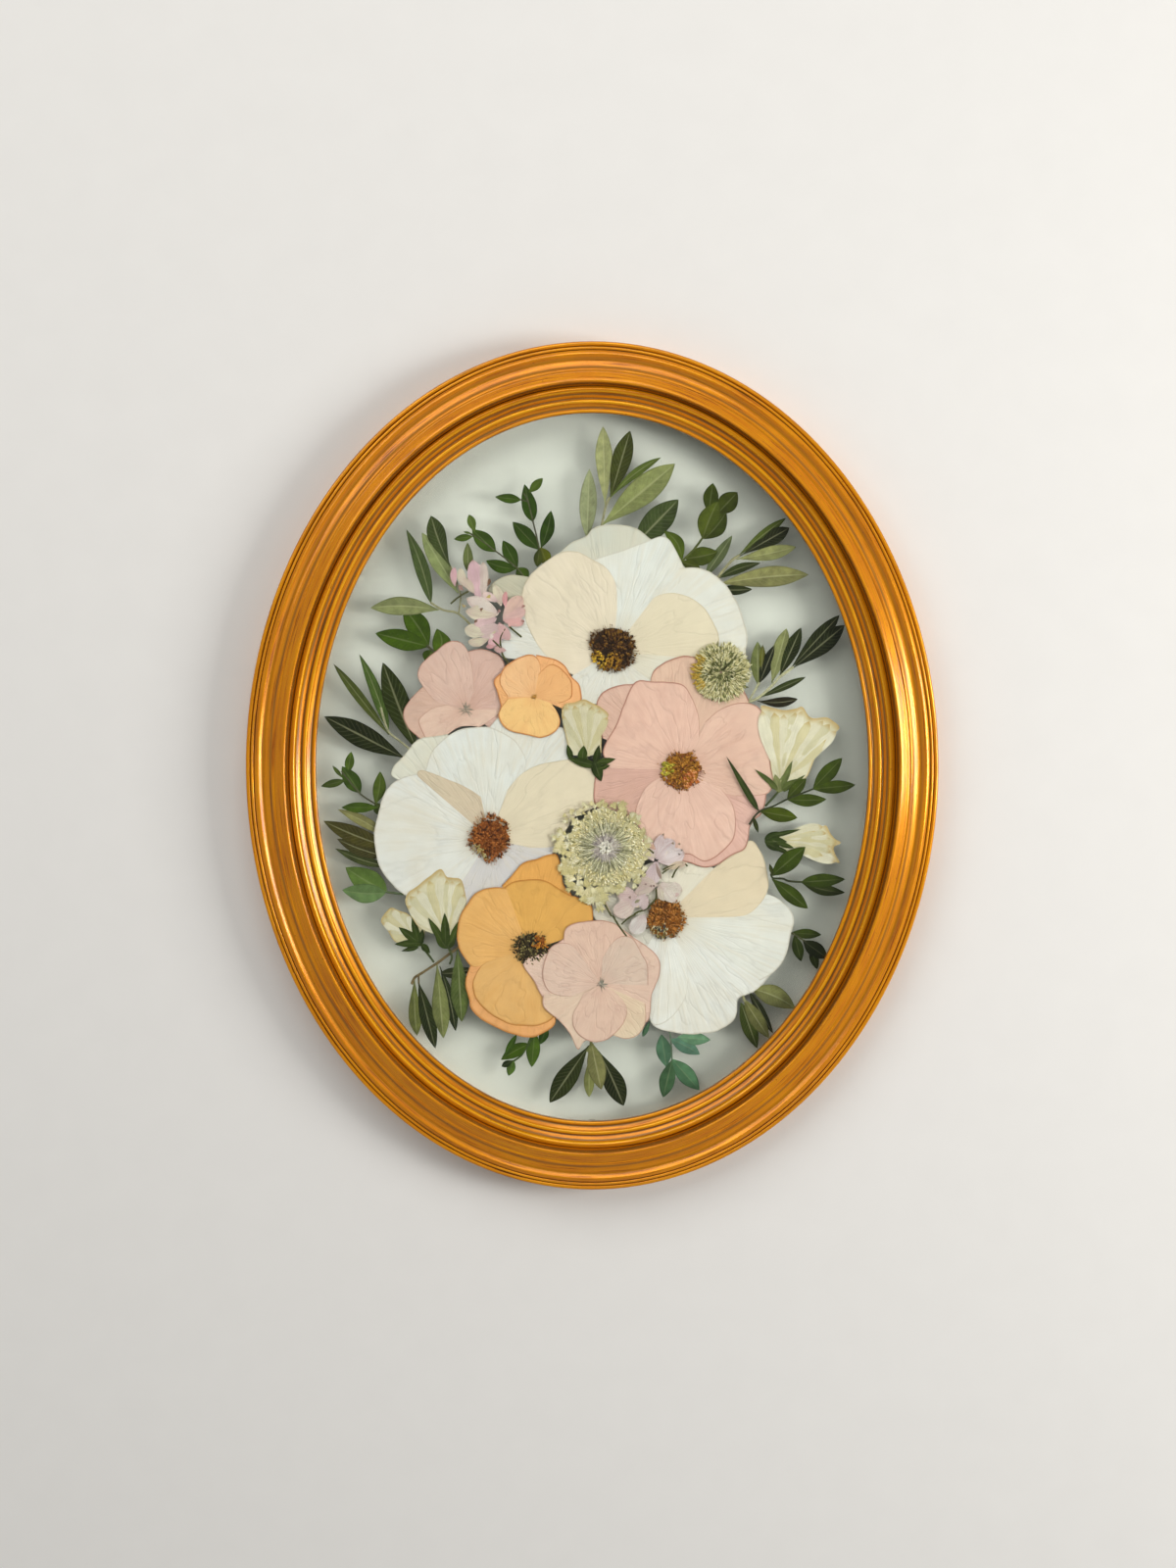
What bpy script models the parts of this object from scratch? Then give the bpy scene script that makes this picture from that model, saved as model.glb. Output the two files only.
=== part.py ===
"""An oval gilt frame, with flowers and leaves pressed between its two panes of glass.

It lies on its back: +Z is the front, +Y the top of the oval, and the origin is under its middle.
Every size below is in millimetres, measured across and up from the middle of the oval.
"""

import math

import bmesh
import bpy
from mathutils import Vector
from mathutils.geometry import delaunay_2d_cdt

MM = 0.001

# The opening is an ellipse for 11 x 14 inch oval glass, which the moulding's lip holds in.
SIGHT_X = 133.35
SIGHT_Y = 171.45
REBATE = 7.0
FACE = 33.5
GLASS_OVERLAP = 6.35
GLASS = 2.0
BACK_GLASS_Z = 6.0
FLOWER_GAP = 3.4
CLEAR = 0.3
FLOWER_Z = BACK_GLASS_Z + GLASS
FRONT_GLASS_Z = FLOWER_Z + FLOWER_GAP
LIP_Z = FRONT_GLASS_Z + GLASS + CLEAR

RING_STEPS = 44
BEAD_STEPS = 3

# Pressed pieces lie in thin layers, the lowest one just above the back glass.
LAYER = 0.35
PRESSED = 0.25
FIRST_LAYER = 0.15

LEAF_STEPS = 3
LEAF_HEEL = 1.2
RIM_STEPS = 2
FRILL_STEPS = 20
# A corner flatter than this is left out of an outline.
FLAT_DEG = 9

TAB = (5.0, 8.0, 0.5)
TAB_CLEAR = 0.5
TAB_TURNS = (30, 90, 150, 210, 270, 330)

PLATE = (30.0, 14.0, 1.5)
PLATE_POCKET = 2.4
PLATE_INSET = 0.3
KEYHOLE_R = 3.0
NAIL_ROOM = (9.0, 11.0, 7.0)
KEYHOLE_SLOT = (4.0, 5.0)
PLATE_SCREW_X = 10.5
SCREW_HEAD_R = 2.4
SCREW_SHANK_R = 1.2
SCREW_LENGTH = 9.0

GILT = (0.80, 0.42, 0.05)
STEEL = (0.55, 0.55, 0.53)
GLASS_TINT = (0.85, 0.9, 0.88)
STAMEN = (0.20, 0.09, 0.02)
CREAM = (0.72, 0.63, 0.45)
OLIVE = (0.20, 0.23, 0.07)
MYRTLE = (0.09, 0.16, 0.02)
GUM = (0.13, 0.22, 0.11)

# Each bloom is a base point and its petals, back to front: the points where each petal's rim passes.
BLOOMS = {
    "white_bloom_top": (2, (10, 58), (0.70, 0.68, 0.62), (
        ((-20, 100), (-12, 109), (-3, 113.5), (5, 119), (14, 118.7), (23, 116.5), (32, 109)),
        ((0, 102), (12, 106), (24, 110), (33, 114), (39, 110), (46, 97)),
        ((42, 99), (51, 98.5), (60, 94), (68, 85.5), (73, 75), (75, 63), (70, 50)),
        ((26, 78), (31, 85), (39, 86.5), (50, 82), (58, 74), (61.5, 65), (58, 52)),
        ((-33, 82), (-42, 73), (-46, 64), (-43, 55), (-33, 50)),
        ((12, 78), (11.5, 90), (6, 99), (-5, 105), (-16, 105), (-27, 98), (-34, 86), (-32, 72),
         (-24, 58), (-8, 45.5)),
        ((-10, 46), (-6, 38), (-2, 32), (6, 33), (18, 41), (28, 45)),
    )),
    "white_bloom_left": (2, (-50, -33), (0.72, 0.71, 0.67), (
        ((-84, -2), (-96.5, -2), (-94, 4.5), (-86, 14), (-76, 17), (-68, 18)),
        ((-52, 21), (-44, 27), (-34, 26), (-22, 22), (-13, 19), (-11, 10), (-13, 2)),
        ((-81, -1), (-80, 7), (-76, 13), (-68, 18.5), (-60, 21), (-50, 21), (-40, 16.5), (-33, 6),
         (-36, -3), (-42, -10)),
        ((-72, -56), (-66, -62), (-60, -66), (-50, -64), (-40, -56), (-29, -47), (-17, -38)),
        ((-83, -1), (-92, -3), (-99.5, -8), (-104, -20), (-106, -33), (-104, -46), (-97, -56),
         (-86, -62), (-74, -61), (-65, -56)),
        ((-41, -9), (-35, -2), (-26, 3), (-14, 5.5), (-4, 6.2), (1, 2), (4, -9), (1.5, -17),
         (-9, -24), (-18, -36), (-31, -38)),
    )),
    "white_bloom_right": (1, (35.5, -72), (0.70, 0.68, 0.64), (
        ((82, -58), (92, -63), (98.5, -71), (97.5, -82), (94, -92), (87, -100), (80, -104)),
        ((94, -90), (87, -102), (79, -109), (71.5, -119), (64, -127), (50, -129.5)),
        ((64, -126), (52, -129.5), (40, -129), (29, -124.5), (25, -112), (24, -96), (26, -84)),
        ((20, -58), (28, -47), (40, -43.5), (51, -45), (60, -50), (60, -57), (54, -63)),
        ((51, -60), (57, -51), (64, -43), (76.5, -33.5), (83, -40), (86, -53), (83, -64),
         (75, -70.5), (62, -71.8), (52, -68)),
    )),
    "pink_bloom_large": (3, (43.5, 0.5), (0.70, 0.50, 0.42), (
        ((30, 42), (32, 50), (38, 54.5), (46, 56), (58, 53), (70, 44), (77, 33)),
        ((28, 42), (16, 42), (8, 40), (3, 36), (4, 25), (6, 12), (10, 2)),
        ((13, 2), (4, 3), (1, -7), (2, -18), (10, -25), (21, -28)),
        ((86, -9), (83, -18), (77, -26), (76, -34), (71, -40), (61, -46), (55, -47.5), (46, -45),
         (38, -41)),
        ((55, 22), (62, 29.5), (71, 33), (80, 31.5), (85, 25), (87.5, 13), (86.5, 3), (87, -9),
         (74, -12), (60, -8)),
        ((8, 1.5), (5.5, 10), (11, 24), (20, 42.3), (31, 43.3), (43, 42.5), (48, 36), (51.5, 27),
         (52.5, 16)),
        ((63, -9), (68.5, -16), (70, -25), (68, -34), (62, -40.5), (55, -44), (44, -40.5),
         (30, -38), (22, -28), (22.5, -16), (29, -6)),
    )),
    "pink_bloom_small": (1, (-61, 30), (0.66, 0.48, 0.42), (
        ((-62, 58), (-53, 59), (-46, 56), (-42, 49), (-43, 39), (-46, 30)),
        ((-81, 42), (-88, 35), (-92, 27), (-89, 20), (-83, 13.5), (-78, 14)),
        ((-72, 32), (-78, 36), (-83, 42), (-83.5, 49), (-80, 55), (-72, 61), (-65, 62.5),
         (-59, 57), (-56.5, 46), (-57, 38)),
        ((-72, 31.5), (-79, 29), (-84, 24), (-81, 16), (-72, 16.5), (-66, 21), (-56, 22),
         (-47, 25), (-44.5, 30)),
    )),
    "peach_bloom": (3, (-28, 36), (0.80, 0.50, 0.25), (
        ((-29, 56.5), (-20, 55), (-13, 51), (-8, 44), (-5, 40), (-5.5, 34.5), (-9, 31), (-15, 30)),
        ((-38, 52), (-46, 45), (-46.5, 36), (-45, 28), (-38, 28)),
        ((-37, 35), (-43.5, 38), (-45.5, 44), (-42, 51), (-35, 55.5), (-28, 56), (-25.5, 51),
         (-26, 43)),
        ((-26, 46), (-21, 51), (-15, 49.5), (-10.5, 44), (-9.5, 38), (-12, 34), (-19, 33)),
        ((-40, 35), (-45, 32), (-45, 26), (-41, 20.5), (-33, 17.5), (-24, 16.3), (-18, 19),
         (-15.5, 25), (-18, 32)),
    )),
    "apricot_bloom": (4, (-29, -87), (0.74, 0.44, 0.16), (
        ((-45, -56), (-40, -50), (-33, -44.5), (-25, -42), (-17, -40.5), (-14, -47), (-12, -58)),
        ((-59, -95), (-62, -104), (-60, -114), (-53, -123), (-43, -128.5), (-32, -131), (-23, -128.5),
         (-17, -122)),
        ((-50, -76), (-50, -69), (-46, -61), (-40, -55), (-29, -53), (-18, -55), (-7, -61), (0, -70),
         (2, -80)),
        ((-42, -58), (-50, -57), (-57, -60), (-62, -66), (-66, -75), (-66.5, -83), (-63, -91),
         (-58, -96), (-50, -94)),
        ((-45, -91.5), (-53, -94), (-58, -101), (-58, -110), (-50, -119.5), (-39, -125), (-27, -126),
         (-19, -120), (-16, -108)),
    )),
    "blush_bloom": (6, (4.5, -104.5), (0.70, 0.54, 0.46), (
        ((-13, -84), (-12, -78), (-4, -74), (5, -73), (15, -76), (22, -82)),
        ((-12, -82), (-24, -88.5), (-34, -93.5), (-29.5, -102), (-24, -111), (-18, -113)),
        ((-24, -110), (-23.5, -116.5), (-17, -122), (-12, -129), (-7.3, -137), (-4, -133), (1, -130)),
        ((17, -79), (26, -85), (32, -92), (33, -100), (29.5, -109), (28.5, -118), (25, -124)),
        ((26, -114), (26, -124), (21, -130), (15, -131.7), (9, -129)),
        ((5, -93), (8, -86), (14, -81.5), (20, -82.5), (25, -89), (28, -97), (27, -105)),
        ((-1, -97), (-6, -88), (-13, -84), (-20, -86), (-24, -94), (-23.5, -104), (-17, -110),
         (-8, -110.5)),
        ((-3, -110), (-8, -116), (-9.5, -123), (-5, -131), (2, -133.5), (10, -130), (16, -121),
         (16.5, -114), (11, -108)),
    )),
}

# The tuft of stamens in each open bloom: layer, middle, and radii across and up.
STAMENS = {
    "stamens_white_top": (4, (10, 58.5), (11, 11.5)),
    "stamens_white_left": (4, (-49.5, -33), (9.6, 10.2)),
    "stamens_white_right": (4, (35.5, -72), (9.5, 9.5)),
    "stamens_pink": (4, (43.5, 0.3), (9.4, 9.2)),
    "stamens_apricot": (5, (-29.5, -86.5), (8.6, 7.0)),
}

# A scabious head: layer, middle, radius, and how many florets stand round its edge.
SCABIOUS = {
    "scabious_small": (5, (63.5, 48), 14.5, 13),
    "scabious_large": (7, (4, -38), 21.0, 17),
}

# A leaf is its base, its tip, its width, how far it bows to the left, and where it is widest.
SPRIGS = {
    "olive_sprig_top": (0, OLIVE, ((((-1, 104), (3.5, 114), (6.3, 127), (8.5, 132)), 1.3),
                                   (((-1, 104), (-2.5, 113)), 1.3),
                                   (((-1, 104), (10, 103.5), (20, 108)), 1.3)), (
        ((-2.5, 112.5), (-1.5, 145.6), 8.3, 0, 0.5),
        ((6.3, 127.5), (5.2, 165.8), 8.2, 0, 0.6),
        ((8.5, 131), (18.2, 163.7), 9.2, 0, 0.6),
        ((8.5, 131.5), (33, 151), 4.2, 1.7, 0.6),
        ((5.0, 119), (39.8, 147.8), 13.4, 0, 0.58),
        ((19.5, 107.6), (41, 130.3), 13.0, 0, 0.55),
    )),
    "myrtle_sprig_top": (0, MYRTLE, ((((-25, 101), (-25.3, 107), (-28.6, 121), (-31, 130), (-34.5, 131)),
                                      0.9),), (
        ((-25.5, 107.5), (-38.2, 120.2), 7.4, 0, 0.5),
        ((-24.8, 108), (-20, 125.7), 6.6, -0.7, 0.5),
        ((-28.6, 120.5), (-32.5, 138.3), 7.2, 0, 0.42),
        ((-34, 131), (-46.7, 132.2), 4.6, 0, 0.45),
        ((-30.5, 134.5), (-23.6, 141.2), 4.4, 0, 0.5),
        ((-24.9, 108.3), (-22, 99.5), 7.0, 0, 0.5),
        ((-25.8, 107.8), (-26.5, 98.5), 4.4, 0, 0.5),
    )),
    "myrtle_sprig_upper_left": (0, MYRTLE, ((((-33, 93), (-36.2, 98.2), (-46.3, 106), (-57, 113.5),
                                              (-61.5, 115)), 0.9),), (
        ((-36.3, 98), (-51, 101.6), 6.0, 1.2, 0.5),
        ((-35.8, 99), (-43, 111.4), 6.3, 0, 0.5),
        ((-36.2, 98.4), (-31, 92), 6.0, 0, 0.5),
        ((-46.3, 106), (-57.5, 116.6), 8.0, 0, 0.5),
        ((-56.2, 114.6), (-59.2, 123.8), 4.3, 0, 0.6),
        ((-57.2, 113.3), (-66.6, 112), 3.6, 0, 0.5),
    )),
    "olive_sprig_upper_left": (1, OLIVE, ((((-57.5, 69.5), (-64.5, 76.2), (-72, 78), (-77.8, 81)), 1.3),
                                          (((-64.5, 76.2), (-63.5, 85), (-66, 93), (-68.2, 99)), 1.0),
                                          (((-64.5, 88), (-60, 93), (-59, 98)), 1.0)), (
        ((-77.6, 80.5), (-89.3, 116.8), 7.4, -1.5, 0.45),
        ((-64.2, 86), (-81.5, 115.2), 8.6, 0, 0.55),
        ((-68, 97.5), (-77.3, 123.2), 8.6, 0.8, 0.66),
        ((-75, 79), (-107, 79), 8.7, -1.4, 0.55),
        ((-59, 96), (-60.2, 110.3), 5.5, 0, 0.45),
    )),
    "laurel_sprig_left": (0, MYRTLE, ((((-71, 54), (-75.8, 57), (-79.5, 61)), 1.3),), (
        ((-79, 60.5), (-91.5, 79), 9.6, -1.2, 0.5),
        ((-77.5, 59.5), (-104.7, 66.7), 9.8, 0.3, 0.5),
        ((-75.2, 55.8), (-77.3, 68.8), 7.0, -3.0, 0.5),
        ((-77, 60.5), (-80.3, 52.7), 7.6, 0, 0.5),
    )),
    "olive_sprig_left": (0, OLIVE, ((((-84, 6.5), (-92, 13.5), (-98.5, 18.5), (-101, 25), (-102.5, 31)),
                                     1.2), (((-84, 6.5), (-91.5, 6.8)), 1.2)), (
        ((-86.5, 9.0), (-101.3, 52.8), 12.6, 0.5, 0.55),
        ((-99, 18.5), (-112.7, 57), 6.4, -1.0, 0.45),
        ((-98.5, 17.8), (-125, 52), 5.4, 0, 0.5),
        ((-91, 6.5), (-129.7, 26.4), 11.6, 0, 0.55),
    )),
    "myrtle_sprig_left": (0, MYRTLE, ((((-99.5, -21), (-105.8, -16.2), (-113, -11), (-119, -2),
                                        (-123.5, 2)), 0.9),), (
        ((-119, -2), (-117.2, 9.4), 4.6, 0, 0.5),
        ((-112.5, -10.5), (-121.8, 2.2), 8.3, 0, 0.45),
        ((-119.5, -4.2), (-131.8, -7.5), 4.1, 0, 0.5),
        ((-105.2, -16.5), (-103.2, -0.3), 6.4, -1.0, 0.5),
        ((-105.5, -15.5), (-102, -22), 5.5, 0, 0.5),
        ((-104, -17.5), (-122, -17.9), 5.4, 0, 0.5),
    )),
    "olive_sprig_low_left": (0, OLIVE, ((((-90, -28), (-98.5, -34), (-98, -41), (-97, -47.5)), 1.5),), (
        ((-97.5, -34), (-123.8, -18.8), 5.8, -1.0, 0.5),
        ((-97, -37.5), (-130.8, -24.4), 9.4, 1.1, 0.5),
        ((-97, -42.5), (-124.3, -33.3), 6.5, 1.5, 0.5),
        ((-96.5, -47), (-125.3, -37.8), 4.8, 1.8, 0.5),
    )),
    "gum_sprig_left": (1, GUM, ((((-92.3, -60.5), (-101, -59.2)), 1.2),), (
        ((-100, -59), (-120.3, -47.3), 14.6, 0, 0.42),
        ((-100.5, -59.3), (-122, -58.4), 10.5, 1.2, 0.45),
    )),
    "olive_sprig_lower_left": (0, OLIVE, ((((-64, -86), (-70, -90), (-76, -94.5), (-84, -99.7),
                                            (-87, -101.7), (-88.5, -105)), 1.5),
                                          (((-85, -100), (-85, -104.5)), 1.0),), (
        ((-87, -101.5), (-86.2, -130.3), 7.0, -0.8, 0.65),
        ((-85, -104), (-76.9, -136.8), 7.2, 0, 0.55),
        ((-75.8, -94.5), (-73, -131.8), 8.2, 0, 0.6),
        ((-75, -95.5), (-67.2, -128.3), 6.0, 1.1, 0.6),
        ((-65.8, -87), (-64, -123.6), 8.4, 0, 0.6),
        ((-76, -97.3), (-58, -97), 6.5, -1.0, 0.5),
    )),
    "myrtle_sprig_bottom": (0, MYRTLE, ((((-22, -122), (-28, -130), (-31.5, -135), (-33, -138.5),
                                          (-38.3, -143)), 1.0),), (
        ((-31, -134.8), (-44.8, -142.5), 7.0, -0.4, 0.45),
        ((-41.5, -140.5), (-36.8, -130.2), 3.4, 0, 0.5),
        ((-27.5, -128.5), (-29.7, -146), 7.6, 0, 0.5),
        ((-26.5, -135), (-20.3, -124.5), 5.4, 0, 0.5),
        ((-37.9, -142.2), (-41, -150.5), 4.5, 0, 0.5),
        ((-37.8, -142.6), (-44.5, -146), 3.4, 0, 0.6),
    )),
    "olive_sprig_bottom": (0, OLIVE, ((((-1, -126), (-0.5, -134.5), (-3, -138.5)), 1.5),
                                      (((-0.5, -134.5), (4.5, -140.5)), 1.2)), (
        ((-1.8, -136), (-21.3, -164), 10.0, 0, 0.58),
        ((-1.6, -141), (-1.5, -161.3), 5.8, 0, 0.6),
        ((-0.7, -133), (4.4, -157.3), 8.6, 0, 0.55),
        ((3.4, -138.2), (15.6, -165.5), 10.0, 0.6, 0.6),
    )),
    "gum_sprig_bottom": (0, GUM, ((((29, -121), (36, -123.5), (38.6, -131), (39.3, -143)), 1.0),), (
        ((37.2, -146.5), (33.8, -129.8), 7.8, 0, 0.5),
        ((38.5, -132), (53, -139.8), 8.5, 0, 0.5),
        ((42, -131.4), (58.2, -132.7), 6.6, 0, 0.5),
        ((39.3, -142), (35, -161.2), 8.2, 0, 0.55),
        ((39.3, -142), (52.6, -157.6), 9.0, 0, 0.5),
        ((29.4, -120.6), (24.6, -131), 2.6, 0, 0.6),
    )),
    "olive_sprig_lower_right": (0, OLIVE, ((((66, -100), (72, -106.8), (75, -113.5)), 1.5),
                                           (((72, -106.8), (79.5, -106.8)), 1.3)), (
        ((78.5, -106.5), (100, -117), 9.5, 2.0, 0.45),
        ((75, -108.5), (89.5, -130), 5.0, 0, 0.5),
        ((74, -111.5), (87, -132), 7.6, 0, 0.5),
        ((73.6, -112), (81, -137), 8.2, 0, 0.45),
    )),
    "myrtle_sprig_lower_right": (0, MYRTLE, ((((89, -74), (97.5, -79.5), (104, -83.3), (110, -87)),
                                              1.0),), (
        ((97, -79.5), (112.2, -80.4), 5.2, 0, 0.45),
        ((98.6, -80), (102.6, -93.6), 5.4, 0, 0.5),
        ((103.3, -83.3), (115.5, -91), 7.4, 0, 0.5),
        ((108, -87), (110.6, -98), 4.8, 0, 0.5),
    )),
    "olive_sprig_right": (0, OLIVE, ((((73, 33), (80, 35.2), (84.5, 39), (88, 43), (92, 46), (97, 50.5)),
                                      1.5), (((76, 34), (78.5, 39), (81.5, 43)), 1.2)), (
        ((81.2, 42), (80, 62.8), 7.4, 0, 0.5),
        ((82, 44), (82.3, 61.3), 4.0, -1.0, 0.55),
        ((81.3, 42), (88.3, 61.3), 5.5, 0, 0.5),
        ((87, 42.5), (94, 69.2), 9.0, 0, 0.58),
        ((90.5, 45.5), (101, 69.5), 7.6, 0, 0.55),
        ((95.5, 49.5), (119.3, 75.6), 8.0, 0, 0.6),
        ((97, 50.2), (122, 70.8), 10.0, 0, 0.6),
        ((80.2, 35.5), (103.5, 45.7), 3.8, 0, 0.6),
        ((78.5, 34.4), (99.5, 34.8), 5.5, -1.8, 0.6),
    )),
    "olive_sprig_upper_right": (0, OLIVE, ((((57, 88), (60.5, 93.5), (67, 101), (71, 104.5)), 1.4),
                                           (((57, 88), (54.5, 94.5)), 1.2),), (
        ((70, 103.5), (93.3, 122), 4.2, 0.6, 0.6),
        ((70, 103.5), (94.5, 117.5), 6.6, 0, 0.6),
        ((69, 101.8), (98.3, 108.2), 6.0, -0.6, 0.55),
        ((61, 93), (81.3, 100.6), 4.6, 1.5, 0.5),
        ((59.5, 90.5), (104.3, 95), 9.8, 1.4, 0.55),
        ((59, 88.5), (77.5, 88.2), 5.6, -0.6, 0.5),
        ((54, 93.5), (67.3, 113.8), 5.2, 0, 0.5),
    )),
    "boxwood_sprig_upper_right": (1, MYRTLE, ((((40, 96), (43.5, 101.5), (49, 107), (53.4, 113)),
                                               1.2),), (
        ((56.5, 124), (58, 138.7), 7.6, 0, 0.5),
        ((59.5, 123), (69.8, 134.3), 9.6, 0, 0.55),
        ((54, 112), (64, 124.5), 8.6, -1.0, 0.5),
        ((53.4, 112), (60, 130), 10.4, 0.7, 0.48),
        ((44.2, 102.5), (60.3, 105.8), 8.0, -0.9, 0.5),
        ((43.4, 101.5), (34.5, 117), 7.4, -3.0, 0.5),
        ((43, 101), (52, 98), 5.0, 0, 0.5),
    )),
    "myrtle_sprig_right": (6, MYRTLE, ((((76.3, -26), (81.3, -19.5), (88, -16.5), (95, -13.5),
                                         (107.8, -8.4)), 1.0),), (
        ((107.5, -8.3), (121.2, 6.5), 6.8, 0, 0.5),
        ((107.5, -8.6), (127.7, -6.6), 6.5, 0, 0.5),
        ((94.8, -13.3), (103.8, -3.3), 5.5, 0, 0.5),
        ((95, -13.7), (113.6, -13.5), 6.4, -0.7, 0.5),
        ((82, -19.4), (99.7, -22.8), 7.5, 0, 0.5),
        ((78.5, -22.8), (81, -30), 2.5, 0, 0.5),
    )),
    "myrtle_sprig_low_right": (6, MYRTLE, ((((87, -50), (88, -52.2), (93, -52.4), (96, -53.7),
                                             (102.4, -54.2)), 1.1),), (
        ((87.6, -51), (103.7, -36.8), 9.0, 0, 0.5),
        ((87.7, -52.5), (105.3, -67.2), 7.4, 0, 0.55),
        ((101.8, -54.2), (123.3, -52.7), 7.0, 0, 0.45),
        ((101.8, -54.4), (123.3, -59.3), 6.0, -1.6, 0.5),
        ((87.7, -51.5), (86.3, -45), 2.0, 0, 0.5),
    )),
    "slender_leaf_right": (7, MYRTLE, ((((80.5, -18.6), (80, -17.5)), 1.4),), (
        ((80.6, -18.8), (64.8, 7.6), 3.0, 0, 0.3),
    )),
}

# A bell flower is its corolla's outline, its calyx's outline, its sepals as leaves, and its stalk.
BELLS = {
    "bell_flower_middle": (4, (
        (-10.5, 9), (-12.5, 17), (-14.8, 27), (-13.5, 32.5), (-8, 33.5), (-4, 35), (0, 33), (4, 31.5),
        (8, 28), (6, 24), (5, 17), (4.5, 10)), (
        (-12, 12), (-11.2, 5), (-2, 6.2), (0.5, 3.5), (2.8, -5), (5, -3.2), (5.4, 1), (4.8, 5.5),
        (4.4, 11), (1.8, 9.5), (-6, 8.2)), (
        ((4, 2), (11.3, 5.8), 2.6, 0, 0.4),), ()),
    "bell_flower_right": (4, (
        (88, -5), (86.8, 2), (87.2, 18), (85, 24), (81.5, 31.5), (93, 29.8), (101.5, 30.8), (107, 26),
        (114.5, 25.6), (119.7, 20.8), (112, 14), (107.5, 5), (104, -3), (97, -6)), (
        (88.5, -11), (88.8, -4.5), (90.5, -1.5), (93.5, -1.5), (95, -6), (93, -11)), (
        ((90, -6), (84.7, -4.5), 2.2, 0, 0.4),
        ((90.5, -5), (79, 0.6), 2.2, -1.0, 0.5),
        ((91.5, -4), (97.5, 5.0), 3.0, 0.6, 0.5),
        ((92, -6), (99.8, -3.8), 4.0, -0.6, 0.5)), (
        (90, -10), (86.5, -14), (84.3, -16.5))),
    "bell_flower_low_right": (3, (
        (92, -30.5), (98, -28.4), (109.5, -29), (113.5, -26.3), (117.5, -32.5), (121.2, -35),
        (117.6, -38), (120.6, -45), (110, -40.6), (96.5, -39.2), (92, -37)), (
        (83, -33), (85.8, -32.5), (87, -29.5), (94, -28.5), (94.5, -33), (93, -38.4), (87.5, -38.6),
        (84, -34.4)), (
        ((91, -30.5), (101.5, -28.3), 2.6, 0, 0.4),
        ((91, -37), (96.8, -40.7), 2.6, 0, 0.4),
        ((92, -33), (98.5, -36.5), 2.4, 0, 0.4)), ()),
    "bell_flower_left": (3, (
        (-76, -81), (-83, -77), (-90, -70), (-91, -63), (-86.5, -57.5), (-78, -50.5), (-74, -47.7),
        (-71, -53), (-64.5, -53.5), (-61.8, -60), (-62, -68), (-66.5, -80)), (
        (-77, -84), (-77.5, -79), (-75, -79), (-71.5, -77), (-68, -78.5), (-65.8, -79), (-66, -84.5),
        (-69, -87), (-74, -87)), (
        ((-75.5, -81), (-79.9, -71.8), 3.4, 0, 0.4),
        ((-71.8, -81), (-71.8, -69.3), 3.6, 0, 0.4),
        ((-67, -81), (-64.3, -72.6), 3.4, 0, 0.4)), (
        (-70.5, -86), (-68.6, -91), (-69.8, -94.8), (-75, -95.8), (-81, -98.6))),
    "bell_flower_low_left": (1, (
        (-84, -80), (-82, -75.5), (-88, -71), (-95, -68.3), (-98.5, -66.8), (-101.5, -70),
        (-103.3, -73.5), (-100, -78.5), (-95.5, -84), (-89, -85)), (
        (-89, -82), (-87, -79.5), (-83.5, -79.5), (-81.2, -83), (-82, -87), (-86.5, -87.5)), (
        ((-86.5, -82), (-94.7, -76.4), 4.2, 0, 0.4),
        ((-85.5, -81), (-88, -71.8), 3.4, 0, 0.4),
        ((-84, -82), (-82.6, -77.4), 2.8, 0, 0.4),
        ((-86, -84), (-96.9, -84.8), 3.8, 0, 0.5),
        ((-85, -86.5), (-93.6, -88.4), 2.4, 0, 0.4),
        ((-83, -85), (-79, -89.4), 3.2, 0, 0.6)), (
        (-82.5, -86.5), (-79.2, -91), (-77.5, -93.4))),
}

# Crumpled larkspur: the ellipses its florets fill (middle, radii, turn), and its stalks.
LARKSPURS = {
    "larkspur_left": (6, (
        ((-55, 93), (5.4, 9.6), 6), ((-64.5, 94), (4.0, 6.0), 10), ((-61, 87), (5.0, 6.5), -20),
        ((-58, 80), (7.0, 5.5), 10), ((-52, 76), (6.5, 7.0), 0), ((-48, 69.5), (6.5, 7.5), 20),
        ((-56, 67), (5.5, 6.0), -15), ((-49.5, 84.5), (5.0, 4.0), 0), ((-40, 78.5), (7.5, 6.5), -25),
        ((-41.5, 84), (2.6, 3.6), 0), ((-47, 61), (4.5, 2.6), -30)), (
        ((-48, 63.5), (-44.6, 60), (-43, 56), (-40.6, 52.6)),
        ((-44.4, 66), (-44.4, 60))), (0.68, 0.52, 0.50)),
    "larkspur_right": (6, (
        ((36.5, -39.5), (8.0, 6.4), 0), ((29, -38), (6.5, 5.5), -10), ((34.5, -31.5), (2.6, 2.6), 0),
        ((29, -50), (4.6, 7.0), -8), ((39.5, -48.5), (7.6, 3.6), 28), ((37.5, -57.5), (6.2, 6.2), 0),
        ((27, -58), (6.0, 4.6), 20), ((22.5, -64), (4.4, 3.6), 0)), (
        ((31.4, -57.5), (31, -62), (28, -66.5), (22, -69.3)),), (0.66, 0.60, 0.58)),
}


def metres(point, z):
    return (point[0] * MM, point[1] * MM, z * MM)


def oval(u, turn):
    """The point u outside the sight edge, at this turn round the oval."""
    return ((SIGHT_X + u) * math.cos(turn), (SIGHT_Y + u) * math.sin(turn))


def layer_z(layer):
    return FLOWER_Z + FIRST_LAYER + LAYER * layer


def material(name, colour, roughness, metallic=0.0):
    made = bpy.data.materials.new(name)
    made.use_nodes = True
    shader = made.node_tree.nodes["Principled BSDF"]
    shader.inputs["Base Color"].default_value = (*colour, 1.0)
    shader.inputs["Roughness"].default_value = roughness
    shader.inputs["Metallic"].default_value = metallic
    return made


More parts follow.
